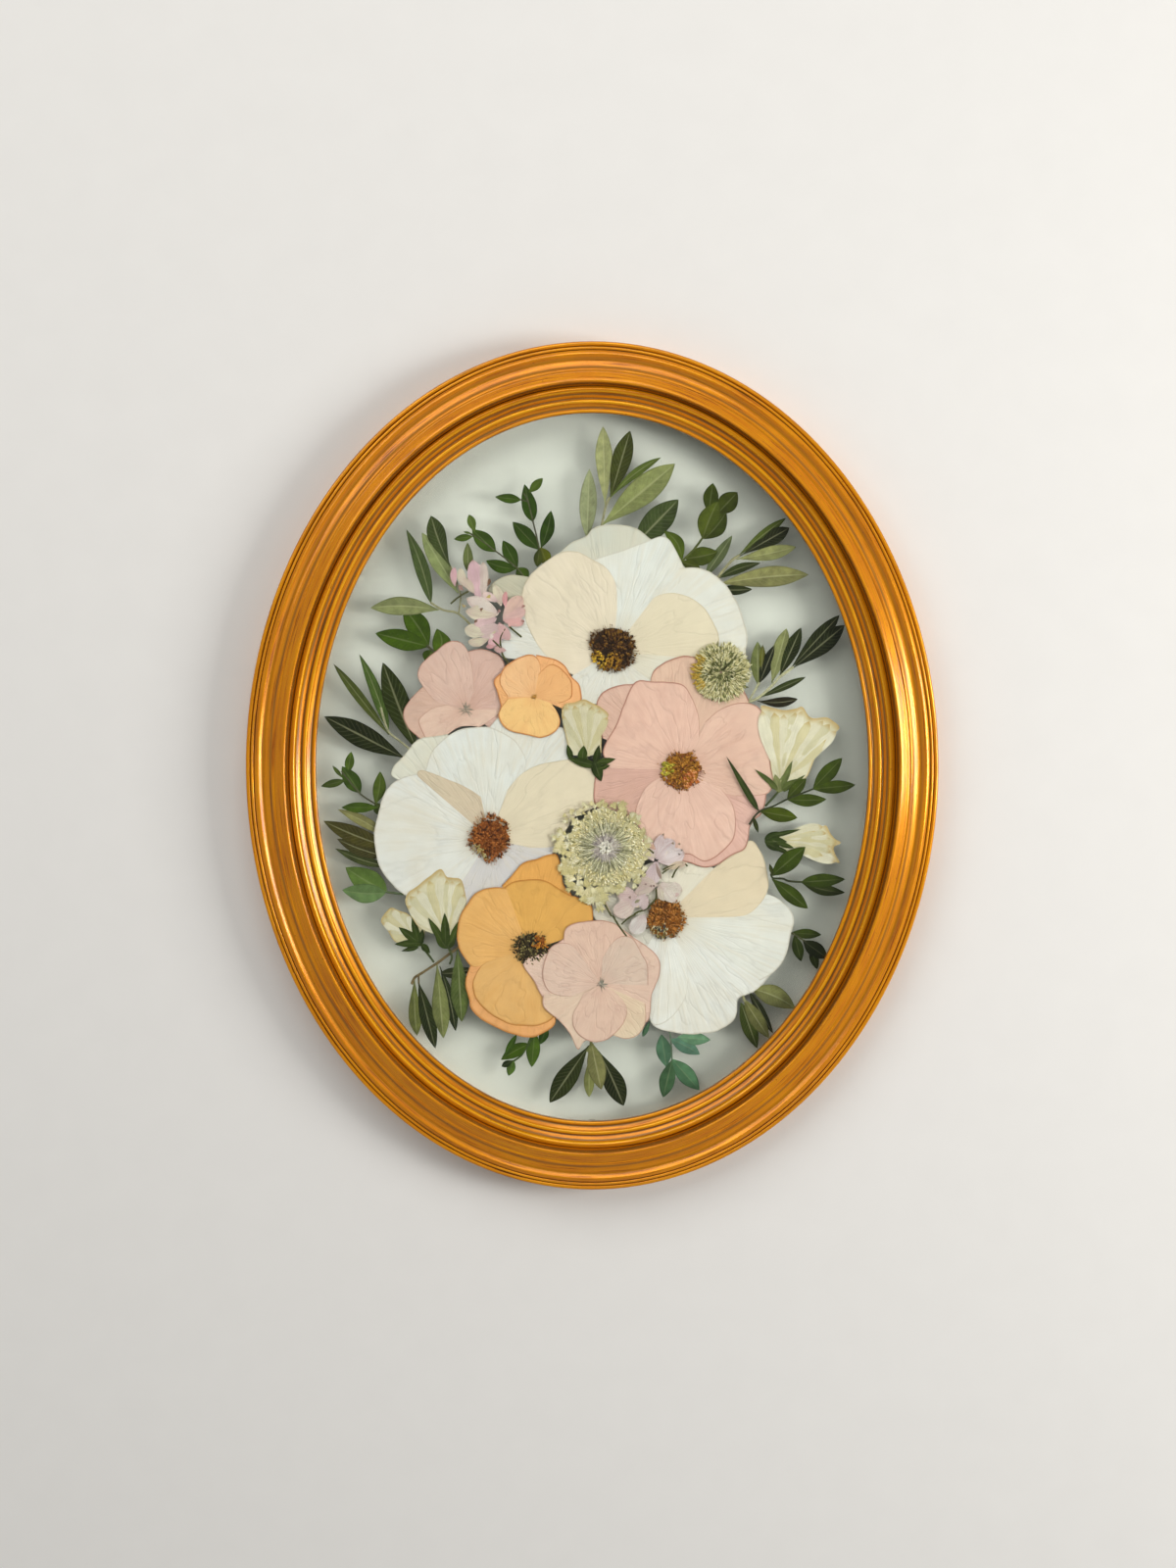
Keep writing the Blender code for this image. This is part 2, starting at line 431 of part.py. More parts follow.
def add_piece(name, bm, colour, roughness, metallic=0.0, smooth=False):
    bmesh.ops.recalc_face_normals(bm, faces=bm.faces)
    mesh = bpy.data.meshes.new(name)
    bm.to_mesh(mesh)
    bm.free()
    if smooth:
        mesh.shade_smooth()
        mesh.set_sharp_from_angle(angle=math.radians(40))
    piece = bpy.data.objects.new(name, mesh)
    piece.data.materials.append(material(name, colour, roughness, metallic))
    bpy.context.scene.collection.objects.link(piece)
    return piece


def prism(outline, z, height):
    """A closed flat-topped body with this outline."""
    bm = bmesh.new()
    face = bm.faces.new([bm.verts.new(metres(point, z)) for point in outline])
    raised = bmesh.ops.extrude_face_region(bm, geom=[face])["geom"]
    top = [item for item in raised if isinstance(item, bmesh.types.BMVert)]
    bmesh.ops.translate(bm, vec=(0, 0, height * MM), verts=top)
    return bm


def circle(middle, radius, steps=16):
    turns = (2 * math.pi * step / steps for step in range(steps))
    return [(middle[0] + radius * math.cos(t), middle[1] + radius * math.sin(t)) for t in turns]


def cut(piece, name, bm):
    """Cuts the body bm out of the piece."""
    cutter = add_piece(name, bm, STEEL, 0.5)
    cutter.hide_render = True
    cutter.display_type = "WIRE"
    modifier = piece.modifiers.new(name, "BOOLEAN")
    modifier.operation = "DIFFERENCE"
    modifier.object = cutter


# The frame


def bead(u, z, radius):
    """A half-round bead's points, from its inner foot over its top to its outer foot."""
    turns = (math.pi * (1 - step / BEAD_STEPS) for step in range(BEAD_STEPS + 1))
    return [(u + radius * math.cos(t), z + radius * math.sin(t)) for t in turns]


def moulding_profile():
    """(u, z) round the moulding's section: u runs out from the sight edge, z up from the back."""
    lip = [(REBATE, 0), (REBATE, LIP_Z), (0, LIP_Z), (0, 16.6), (0.7, 17.5), (2.0, 17.6), (2.9, 16.8)]
    steps = bead(5.3, 17.0, 1.25) + bead(10.5, 18.5, 1.75) + [(14.0, 18.6)]
    crown = [(15.3, 23.4), (16.9, 24.5), (20.5, 23.8), (24.2, 21.2), (28.6, 19.2)]
    rim = bead(29.9, 19.2, 0.8) + [(31.4, 19.5), (32.7, 19.4), (FACE, 18.2), (FACE, 0)]
    return lip + steps + crown + rim


def make_moulding():
    bm = bmesh.new()
    rings = []
    for step in range(RING_STEPS):
        turn = 2 * math.pi * step / RING_STEPS
        rings.append([bm.verts.new(metres(oval(u, turn), z)) for u, z in moulding_profile()])
    for ring, following in zip(rings, rings[1:] + rings[:1]):
        for i in range(len(ring)):
            bm.faces.new((ring[i - 1], ring[i], following[i], following[i - 1]))
    frame = add_piece("frame_moulding", bm, GILT, 0.35, 0.8, smooth=True)
    width, height, _ = PLATE
    pocket = rectangle(plate_middle(), width + 2 * CLEAR, height + 2 * CLEAR)
    cut(frame, "plate_pocket_cutter", prism(pocket, -1, PLATE_POCKET + 1))
    width, height, depth = NAIL_ROOM
    cut(frame, "nail_room_cutter", prism(rectangle(plate_middle(), width, height), 1, depth - 1))
    for x in screw_places():
        hole = circle((x, plate_middle()[1]), SCREW_SHANK_R + CLEAR, 10)
        cut(frame, "screw_hole_cutter", prism(hole, 1, SCREW_LENGTH + 1))


def make_glass():
    outline = [oval(GLASS_OVERLAP, 2 * math.pi * step / RING_STEPS) for step in range(RING_STEPS)]
    for name, z in (("back_glass", BACK_GLASS_Z), ("front_glass", FRONT_GLASS_Z)):
        add_piece(name, prism(outline, z, GLASS), GLASS_TINT, 0.05)


def make_glazing_tabs():
    """Steel points under the back glass, which keep both panes against the lip."""
    length, width, thickness = TAB
    for number, degrees in enumerate(TAB_TURNS, start=1):
        foot = Vector(oval(REBATE - TAB_CLEAR, math.radians(degrees)))
        out = Vector((foot.x / SIGHT_X**2, foot.y / SIGHT_Y**2)).normalized()
        side = Vector((-out.y, out.x)) * width / 2
        tip = foot - out * length
        outline = [foot - side, tip - side * 0.4, tip + side * 0.4, foot + side]
        z = BACK_GLASS_Z - CLEAR - thickness
        add_piece(f"glazing_tab_{number}", prism(outline, z, thickness), STEEL, 0.4, 1.0)


def rectangle(middle, width, height):
    x, y = middle
    w, h = width / 2, height / 2
    return [(x - w, y - h), (x + w, y - h), (x + w, y + h), (x - w, y + h)]


def plate_middle():
    return (0, SIGHT_Y + (REBATE + FACE) / 2)


def screw_places():
    return (-PLATE_SCREW_X, PLATE_SCREW_X)


def make_hanger_plate():
    """A keyhole plate let in flush at the top of the back, on two countersunk screws."""
    x, y = plate_middle()
    width, height, thickness = PLATE
    body = prism(rectangle((x, y), width, height), PLATE_INSET, thickness)
    plate = add_piece("hanger_plate", body, STEEL, 0.35, 1.0)
    slot_width, slot_length = KEYHOLE_SLOT
    keyhole = circle((x, y - slot_length / 2), KEYHOLE_R, 14)
    slot = rectangle((x, y + slot_length * 0.2), slot_width, slot_length * 1.4)
    cut(plate, "keyhole_cutter", prism(keyhole, -1, 4))
    cut(plate, "keyhole_slot_cutter", prism(slot, -1, 4))
    for number, screw_x in enumerate(screw_places(), start=1):
        seat = ((2.7, -1), (2.7, 0.95), (1.6, 2.0), (1.6, 3))
        cut(plate, "screw_seat_cutter", turned((screw_x, y), seat))
        screw = ((SCREW_HEAD_R, 0.4), (SCREW_HEAD_R, 0.7), (SCREW_SHANK_R, 1.9),
                 (SCREW_SHANK_R, SCREW_LENGTH), (0.3, SCREW_LENGTH + 1.4))
        add_piece(f"hanger_screw_{number}", turned((screw_x, y), screw), STEEL, 0.3, 1.0, smooth=True)


def turned(middle, profile, steps=10):
    """A closed round body, from its (radius, z) pairs, low to high."""
    bm = bmesh.new()
    rings = []
    for radius, z in profile:
        rings.append([bm.verts.new(metres(point, z)) for point in circle(middle, radius, steps)])
    for low, high in zip(rings, rings[1:]):
        for i in range(steps):
            bm.faces.new((low[i - 1], low[i], high[i], high[i - 1]))
    bm.faces.new(rings[0])
    bm.faces.new(rings[-1])
    return bm


# The pressed pieces


def leaf(base, tip, width, bow, belly):
    """A leaf's outline: pointed at both ends, and widest at belly, from 0 at the base to 1 at the tip.

    The base runs on a little, into the stalk.
    """
    tip = Vector(tip)
    base = Vector(base) - (tip - Vector(base)).normalized() * LEAF_HEEL
    along = tip - base
    left = Vector((-along.y, along.x)).normalized()
    power = math.log(0.5) / math.log(belly)
    sides = ([], [])
    for step in range(1, LEAF_STEPS + 1):
        s = step / (LEAF_STEPS + 1)
        middle = base + along * s + left * bow * 4 * s * (1 - s)
        half = width / 2 * math.sin(math.pi * s**power) ** 0.85
        sides[0].append(middle + left * half)
        sides[1].append(middle - left * half)
    return [base] + sides[1] + [tip] + sides[0][::-1]


def strip(points, width):
    """A stalk's outline, along these points."""
    points = [Vector(point) for point in points]
    sides = ([], [])
    for i, point in enumerate(points):
        along = points[min(i + 1, len(points) - 1)] - points[max(i - 1, 0)]
        left = Vector((-along.y, along.x)).normalized() * width / 2
        sides[0].append(point + left)
        sides[1].append(point - left)
    return sides[1] + sides[0][::-1]


def smooth_curve(points, steps, closed=False):
    """Points on the Catmull-Rom curve through these, with this many steps from one to the next."""
    points = [Vector(point) for point in points]
    count = len(points)
    curve = []
    for i in range(count if closed else count - 1):
        if closed:
            a, b, c, d = (points[(i + k) % count] for k in (-1, 0, 1, 2))
        else:
            a, b, c, d = (points[min(max(i + k, 0), count - 1)] for k in (-1, 0, 1, 2))
        for step in range(steps):
            t = step / steps
            curve.append(
                0.5 * (2 * b + (c - a) * t + (2 * a - 5 * b + 4 * c - d) * t**2
                       + (3 * b - 3 * c + d - a) * t**3)
            )
    return curve if closed else curve + [points[-1]]


def petal(base, rim):
    return [Vector(base)] + smooth_curve(rim, RIM_STEPS)


def ellipse(middle, radii, degrees, steps=9):
    tilt = math.radians(degrees)
    points = []
    for step in range(steps):
        t = 2 * math.pi * step / steps
        x, y = radii[0] * math.cos(t), radii[1] * math.sin(t)
        points.append((middle[0] + x * math.cos(tilt) - y * math.sin(tilt),
                       middle[1] + x * math.sin(tilt) + y * math.cos(tilt)))
    return points


def frilled(middle, radius, lobes):
    """A round outline with a shallow lobe for each floret."""
    points = []
    for step in range(FRILL_STEPS):
        t = 2 * math.pi * step / FRILL_STEPS
        r = radius * (1 - 0.05 * abs(math.sin(lobes * t / 2)))
        points.append((middle[0] + r * math.cos(t), middle[1] + r * math.sin(t)))
    return points


def turned_left(outline):
    """The outline, listed so that it runs anticlockwise."""
    area = sum(a[0] * b[1] - b[0] * a[1] for a, b in zip(outline, outline[1:] + outline[:1]))
    return outline if area > 0 else outline[::-1]


def add_pressed(name, outlines, layer, colour):
    """One thin flat body in the shape of all these overlapping outlines together."""
    points, faces = [], []
    for outline in outlines:
        outline = turned_left(list(outline))
        faces.append(list(range(len(points), len(points) + len(outline))))
        points += [Vector((point[0], point[1])) for point in outline]
    found, _, cells, _, _, owners = delaunay_2d_cdt(points, [], faces, 1, 1e-4)
    bm = bmesh.new()
    verts = [bm.verts.new(metres(point, layer_z(layer))) for point in found]
    for cell, owner in zip(cells, owners):
        if owner:
            bm.faces.new([verts[i] for i in cell])
    bmesh.ops.delete(bm, geom=[vert for vert in bm.verts if not vert.link_faces], context="VERTS")
    bmesh.ops.dissolve_limit(bm, angle_limit=math.radians(FLAT_DEG), verts=bm.verts, edges=bm.edges)
    raised = bmesh.ops.extrude_face_region(bm, geom=bm.faces[:])["geom"]
    top = [item for item in raised if isinstance(item, bmesh.types.BMVert)]
    bmesh.ops.translate(bm, vec=(0, 0, PRESSED * MM), verts=top)
    add_piece(name, bm, colour, 0.8)


def make_blooms():
    for name, (layer, base, colour, petals) in BLOOMS.items():
        outlines = [petal(base, rim) for rim in petals] + [circle(base, 4, 10)]
        add_pressed(name, outlines, layer, colour)
    for name, (layer, middle, radii) in STAMENS.items():
        add_pressed(name, [ellipse(middle, radii, 0, 14)], layer, STAMEN)
    for name, (layer, middle, radius, florets) in SCABIOUS.items():
        add_pressed(name, [frilled(middle, radius, florets)], layer, CREAM)


def make_bells():
    for name, (layer, corolla, calyx, sepals, stalk) in BELLS.items():
        outlines = [smooth_curve(corolla, 1, closed=True), calyx]
        outlines += [leaf(*sepal) for sepal in sepals]
        if stalk:
            outlines.append(strip(stalk, 1.1))
        add_pressed(name, outlines, layer, CREAM)


def make_larkspurs():
    for name, (layer, florets, stalks, colour) in LARKSPURS.items():
        outlines = [ellipse(*floret) for floret in florets]
        outlines += [strip(stalk, 0.9) for stalk in stalks]
        add_pressed(name, outlines, layer, colour)


def make_sprigs():
    for name, (layer, colour, stems, leaves) in SPRIGS.items():
        outlines = [strip(points, width) for points, width in stems]
        outlines += [leaf(*one) for one in leaves]
        add_pressed(name, outlines, layer, colour)


for old in list(bpy.data.objects):
    bpy.data.objects.remove(old, do_unlink=True)
make_moulding()
make_glass()
make_glazing_tabs()
make_hanger_plate()
make_blooms()
make_bells()
make_larkspurs()
make_sprigs()
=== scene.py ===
"""Pressed flowers and leaves between two panes of glass, in an oval gilt frame that lies on its back.

Sizes are in millimetres from the middle of the oval, +X to the right and +Y up to its top, and each
finished piece is moved onto the CAD node that it stands for.
"""

import math
import random

import bmesh
import bpy
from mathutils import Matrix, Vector, noise


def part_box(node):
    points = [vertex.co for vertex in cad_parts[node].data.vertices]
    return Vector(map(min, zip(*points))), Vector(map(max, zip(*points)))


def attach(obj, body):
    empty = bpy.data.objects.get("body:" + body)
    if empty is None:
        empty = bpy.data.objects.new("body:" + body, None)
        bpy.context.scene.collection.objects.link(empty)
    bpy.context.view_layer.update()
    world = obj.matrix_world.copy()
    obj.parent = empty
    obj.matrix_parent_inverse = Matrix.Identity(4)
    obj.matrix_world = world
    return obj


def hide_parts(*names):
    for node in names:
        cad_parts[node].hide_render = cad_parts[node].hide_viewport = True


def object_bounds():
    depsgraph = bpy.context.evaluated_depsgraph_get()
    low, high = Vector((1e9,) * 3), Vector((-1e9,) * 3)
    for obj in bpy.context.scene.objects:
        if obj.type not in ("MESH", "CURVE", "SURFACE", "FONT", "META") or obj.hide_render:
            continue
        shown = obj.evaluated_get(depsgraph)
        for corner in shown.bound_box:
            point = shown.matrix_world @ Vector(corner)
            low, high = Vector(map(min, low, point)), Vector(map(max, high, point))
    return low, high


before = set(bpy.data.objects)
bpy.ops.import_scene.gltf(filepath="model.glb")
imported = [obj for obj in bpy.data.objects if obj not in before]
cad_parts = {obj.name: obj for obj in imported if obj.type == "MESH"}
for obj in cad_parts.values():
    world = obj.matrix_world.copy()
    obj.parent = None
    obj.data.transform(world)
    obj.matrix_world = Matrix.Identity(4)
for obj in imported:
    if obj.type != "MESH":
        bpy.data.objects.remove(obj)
CAD_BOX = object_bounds()

MM = 0.001

# The moulding: semi-axes of its sight edge, then its section outwards (u) and up (z).
SIGHT_X = 133.35
SIGHT_Y = 171.45
REBATE = 7.0
FACE = 33.5
LIP_Z = 13.7
RING_STEPS = 180
# Hand-cut timber: the ring wavers by a few hundredths of a millimetre.
RING_WAVER = 0.05
# A point's relief is its height over the mean of the points up to this far either side of it.
RELIEF_REACH = 1.6
# Blocks cut out of the back: the hanger plate's pocket, and room behind it for a nail's head.
PLATE_POCKET = (30.6, 14.6, 2.4)
NAIL_ROOM = (9.0, 11.0, 7.0)

GLASS_OVERLAP = 6.35
GLASS_RIM = 0.25
GLASS_STEPS = 120

# Pressed tissue: how thick a sheet is, and the heights over which petals and leaves lie on each other.
SHEET = 0.04
PETAL_STACK = 0.26
LEAF_STACK = 0.2
# The height of a stalk's middle over its layer.
STALK_LIFT = 0.12
# A petal starts at this share of the way from its base to its rim.
PETAL_START = 0.05
PETAL_ROWS = 12
RIM_STEPS = 6
LEAF_ROWS = 18
LEAF_COLUMNS = 7
# Half the width of a leaf's foot, where it joins its stalk.
LEAF_FOOT = 0.28
# Seeds stay low, so that the noise they move through keeps its precision.
SEEDS = 97

SHARP_EDGE = math.radians(50)

FLOOR_SIDE = 6.0
# Lamps: place, width and height in metres, watts, and colour.
LAMPS = {
    "window": ((1.2, 0.02, 0.8), (0.4, 0.7), 12, (1.0, 0.985, 0.96)),
    "skylight": ((-0.35, 0.96, 1.15), (1.7, 1.1), 12, (1.0, 0.99, 0.975)),
}
CAMERA_LENS = 50
CAMERA_SENSOR = 36
CAMERA_DISTANCE = 1.055
CAMERA_TILT = math.radians(5)
# The point the camera aims at, from the middle of the oval.
CAMERA_AIM = (-2.0, -6.0, 13.0)


# Materials

# A MapRange reads the range 1 to 2 and gives the range 3 to 4. A Mix of colours takes its share in 0,
# and its colours in 6 and 7.
SMOOTH = {"interpolation_type": "SMOOTHSTEP"}
BLEND = {"data_type": "RGBA"}
TIMES = {"data_type": "RGBA", "blend_type": "MULTIPLY"}


def linear(hex_colour):
    """An sRGB hex colour as linear red, green, blue and alpha."""
    channels = [int(hex_colour[i : i + 2], 16) / 255 for i in (0, 2, 4)]
    return (*[c / 12.92 if c <= 0.04045 else ((c + 0.055) / 1.055) ** 2.4 for c in channels], 1.0)


def new_material(name):
    made = bpy.data.materials.new(name)
    made.use_nodes = True
    return made, made.node_tree, made.node_tree.nodes["Principled BSDF"]


def feed(tree, node, inputs):
    """Sets a node's inputs: to a value, an output, or the first enabled output of another node."""
    for name, value in inputs.items():
        if isinstance(value, bpy.types.Node):
            value = next(output for output in value.outputs if output.enabled)
        if isinstance(value, bpy.types.NodeSocket):
            tree.links.new(value, node.inputs[name])
        else:
            node.inputs[name].default_value = value


def add_node(tree, kind, settings, inputs):
    """Adds a shader node with its settings, and feeds its inputs."""
    made = tree.nodes.new("ShaderNode" + kind)
    for name, value in settings.items():
        setattr(made, name, value)
    feed(tree, made, inputs)
    return made


def water_gilt_wood():
    """Leaf gold over a clay bole, toned with a brown glaze that was brushed along the moulding.

    It gives an orange-gold satin metal with lengthwise streaks and dark lines, grey-green dust and
    painted shade in the grooves, and clay and a painted highlight on the ridges.
    """
    made, tree, shader = new_material("water_gilt_wood")
    # Section coordinates are millimetres along the moulding, in X and Y, and across it, in Z.
    section = add_node(tree, "Attribute", {"attribute_name": "section"}, {}).outputs["Vector"]
    height = add_node(tree, "Attribute", {"attribute_name": "relief"}, {}).outputs["Fac"]
    # Brush marks about 30 mm long and under 1 mm wide, clouds about 20 mm across, specks about 1 mm.
    streaks = add_node(tree, "Mapping", {}, {"Vector": section, "Scale": (0.035, 0.035, 1.5)})
    brushed = add_node(
        tree, "TexNoise", {}, {"Vector": streaks, "Scale": 1.0, "Detail": 5.0, "Roughness": 0.65}
    )
    clouds = add_node(tree, "TexNoise", {}, {"Vector": section, "Scale": 0.045, "Detail": 3.0})
    specks = add_node(tree, "TexNoise", {}, {"Vector": section, "Scale": 0.9, "Detail": 2.0})
    glaze = add_node(tree, "MapRange", {}, {"Value": brushed, 1: 0.42, 2: 0.66, 3: 0.0, 4: 1.0})
    gold = add_node(tree, "Mix", BLEND, {0: clouds, 6: linear("FCAA04"), 7: linear("DC8002")})
    toned = add_node(tree, "Mix", BLEND, {0: glaze, 6: gold, 7: linear("BE6604")})
    # Where the glaze pooled it dried in dark brown lines.
    pooled = add_node(tree, "MapRange", SMOOTH, {"Value": brushed, 1: 0.57, 2: 0.66, 3: 0.0, 4: 0.6})
    lined = add_node(tree, "Mix", BLEND, {0: pooled, 6: toned, 7: linear("6A3806")})
    # The ridges are painted a brighter yellow: a painted highlight.
    ridge_highlight = add_node(tree, "MapRange", SMOOTH, {"Value": height, 1: 0.15, 2: 0.6, 3: 0.0, 4: 0.75})
    lit = add_node(tree, "Mix", BLEND, {0: ridge_highlight, 6: lined, 7: linear("FFBE18")})
    # The gold wore through to the clay on the ridges.
    rubbed = add_node(tree, "Math", {"operation": "MULTIPLY_ADD"}, {0: specks, 1: 1.6, 2: height})
    worn = add_node(tree, "MapRange", SMOOTH, {"Value": rubbed, 1: 1.5, 2: 1.75, 3: 0.0, 4: 0.75})
    clay = add_node(tree, "Mix", BLEND, {0: worn, 6: lit, 7: linear("8A3A12")})
    # The grooves take dark brown and grey-green: partly dust, and partly painted shade in the hollows.
    groove_dust_and_shade = add_node(tree, "MapRange", SMOOTH, {"Value": height, 1: -0.03, 2: -0.28, 3: 0.0, 4: 0.8})
    dust_and_shade = add_node(tree, "Mix", BLEND, {0: clouds, 6: linear("5A2A00"), 7: linear("7A6E3A")})
    dusty_and_shaded = add_node(tree, "Mix", BLEND, {0: groove_dust_and_shade, 6: clay, 7: dust_and_shade})
    pitted = add_node(tree, "MapRange", SMOOTH, {"Value": specks, 1: 0.3, 2: 0.24, 3: 0.0, 4: 0.6})
    speckled = add_node(tree, "Mix", BLEND, {0: pitted, 6: dusty_and_shaded, 7: linear("4A2406")})
    # Bare leaf is metal, and the glaze over it is not.
    bare = add_node(tree, "MapRange", {}, {"Value": glaze, 1: 0.0, 2: 1.0, 3: 0.4, 4: 0.16})
    rough = add_node(tree, "MapRange", {}, {"Value": brushed, 1: 0.3, 2: 0.7, 3: 0.2, 4: 0.36})
    bump = add_node(tree, "Bump", {}, {"Height": brushed, "Strength": 0.25, "Distance": 0.0004})
    feed(tree, shader, {"Base Color": speckled, "Metallic": bare, "Roughness": rough, "Normal": bump})
    feed(tree, shader, {"Specular IOR Level": 0.15, "Coat Weight": 0.5, "Coat Roughness": 0.15})
    return made


def sawn_limewood():
    """Bare limewood, sawn and left unfinished behind: pale tan, with fine grain along the moulding."""
    made, tree, shader = new_material("sawn_limewood")
    section = add_node(tree, "Attribute", {"attribute_name": "section"}, {}).outputs["Vector"]
    # Grain lines about 1 mm apart, as coarse as they need to be to show.
    lengthwise = add_node(tree, "Mapping", {}, {"Vector": section, "Scale": (0.03, 0.03, 1.0)})
    grain = add_node(
        tree, "TexNoise", {}, {"Vector": lengthwise, "Scale": 1.0, "Detail": 6.0, "Roughness": 0.7}
    )
    share = add_node(tree, "MapRange", {}, {"Value": grain, 1: 0.35, 2: 0.7, 3: 0.0, 4: 1.0})
    tone = add_node(tree, "Mix", BLEND, {0: share, 6: linear("C9A878"), 7: linear("A37E4F")})
    bump = add_node(tree, "Bump", {}, {"Height": grain, "Strength": 0.4, "Distance": 0.0003})
    feed(tree, shader, {"Base Color": tone, "Roughness": 0.8, "Normal": bump})
    return made


def float_glass():
    """Clear soda-lime glass, fire-polished: colourless face on, and green through its cut edge."""
    made, tree, shader = new_material("float_glass")
    # Patches some 25 mm across are duller by a trace, from cleaning.
    film = add_node(tree, "TexNoise", {}, {"Scale": 14.0, "Detail": 2.0})
    rough = add_node(tree, "MapRange", {}, {"Value": film, 1: 0.3, 2: 0.7, 3: 0.0, 4: 0.02})
    feed(tree, shader, {"Base Color": linear("F0F3EF"), "Roughness": rough})
    feed(tree, shader, {"Transmission Weight": 1.0, "IOR": 1.5})
    return made


def zinc_plated_steel():
    """Pressed steel with bright zinc plating: pale grey, softly blotched by the zinc's crystals."""
    made, tree, shader = new_material("zinc_plated_steel")
    spangle = add_node(tree, "TexVoronoi", {}, {"Scale": 900.0})
    tone = add_node(tree, "Mix", BLEND, {0: spangle, 6: linear("B9BABB"), 7: linear("9A9C9E")})
    rough = add_node(tree, "MapRange", {}, {"Value": spangle, 1: 0.0, 2: 0.8, 3: 0.3, 4: 0.45})
    feed(tree, shader, {"Base Color": tone, "Roughness": rough, "Metallic": 1.0})
    return made


def dried_tissue(
    name, veins, vein_colour, vein_share, rim_shade_colour, rim_shade_share, rim_shade_start, throat_share, mottle
):
    """Plant tissue pressed flat and dried: matt, tinted piece by piece, with veins, folds and a rim.

    The attribute place holds each point's share across the petal, its share out from the base, and
    a number of the petal's own. veins is how many run out from the base. The folds and the rim are
    painted darker, as painted shade.
    """
    made, tree, shader = new_material(name)
    tint = add_node(tree, "Attribute", {"attribute_name": "tint"}, {})
    place = add_node(tree, "Attribute", {"attribute_name": "place"}, {}).outputs["Vector"]
    outwards = add_node(tree, "SeparateXYZ", {}, {0: place}).outputs["Y"]
    where = add_node(tree, "TexCoord", {}, {}).outputs["Object"]
    # Veins wander a little on their way out.
    stretched = add_node(tree, "Mapping", {}, {"Vector": place, "Scale": (veins, veins * 0.08, 3.7)})
    branching = add_node(
        tree, "TexNoise", {}, {"Vector": stretched, "Scale": 1.0, "Detail": 3.0, "Roughness": 0.5}
    )
    vein = add_node(
        tree, "MapRange", SMOOTH, {"Value": branching, 1: 0.48, 2: 0.66, 3: 0.0, 4: vein_share}
    )
    # Blotches about 6 mm across, where the tissue dried unevenly.
    blotch = add_node(tree, "TexNoise", {}, {"Vector": where, "Scale": 160.0, "Detail": 4.0})
    shade = add_node(
        tree, "MapRange", {}, {"Value": blotch, 1: 0.3, 2: 0.7, 3: 1.0 - mottle, 4: 1.0 + mottle * 0.4}
    )
    # Folds are thin lines, tens of millimetres long, where a slow noise crosses its middle value.
    slow = add_node(tree, "Mapping", {}, {"Vector": place, "Scale": (5.0, 1.6, 1.3)})
    drift = add_node(
        tree, "TexNoise", {}, {"Vector": slow, "Scale": 1.0, "Detail": 3.0, "Roughness": 0.45}
    )
    off_fold = add_node(tree, "Math", {"operation": "SUBTRACT"}, {0: drift, 1: 0.5})
    near_fold = add_node(tree, "Math", {"operation": "ABSOLUTE"}, {0: off_fold})
    fold = add_node(tree, "MapRange", {}, {"Value": near_fold, 1: 0.03, 2: 0.0, 3: 0.0, 4: 1.0})
    # Along the folds the tint is painted 7 per cent darker: painted shade in the creases.
    fold_shaded = add_node(tree, "Math", {"operation": "MULTIPLY_ADD"}, {0: fold, 1: -0.07, 2: shade})
    mottled = add_node(tree, "Mix", TIMES, {0: 1.0, 6: tint, 7: fold_shaded})
    # Stains some 20 mm across, where the sap dried last.
    sap = add_node(tree, "TexNoise", {}, {"Vector": where, "Scale": 48.0, "Detail": 2.0})
    stain = add_node(tree, "MapRange", SMOOTH, {"Value": sap, 1: 0.42, 2: 0.68, 3: 0.0, 4: vein_share})
    dried = add_node(tree, "Mix", BLEND, {0: stain, 6: mottled, 7: linear(vein_colour)})
    veined = add_node(tree, "Mix", BLEND, {0: vein, 6: dried, 7: linear(vein_colour)})
    # The throat is stained round the heart, and the rim is painted darker: painted shade where the curled
    # edge lies on the tissue beneath.
    throat = add_node(
        tree, "MapRange", SMOOTH, {"Value": outwards, 1: 0.42, 2: 0.1, 3: 0.0, 4: throat_share}
    )
    stained = add_node(tree, "Mix", BLEND, {0: throat, 6: veined, 7: linear(vein_colour)})
    rim = add_node(
        tree, "MapRange", SMOOTH, {"Value": outwards, 1: rim_shade_start, 2: 1.0, 3: 0.0, 4: rim_shade_share}
    )
    edge_shaded = add_node(tree, "Mix", BLEND, {0: rim, 6: stained, 7: linear(rim_shade_colour)})
    ribs = add_node(tree, "Math", {"operation": "MULTIPLY_ADD"}, {0: fold, 1: -0.5, 2: branching})
    creases = add_node(tree, "Math", {"operation": "MULTIPLY_ADD"}, {0: blotch, 1: 0.6, 2: ribs})
    bump = add_node(tree, "Bump", {}, {"Height": creases, "Strength": 0.4, "Distance": 0.0005})
    feed(tree, shader, {"Base Color": edge_shaded, "Roughness": 0.75, "Normal": bump})
    feed(tree, shader, {"Sheen Weight": 0.1, "Specular IOR Level": 0.25})
    return made


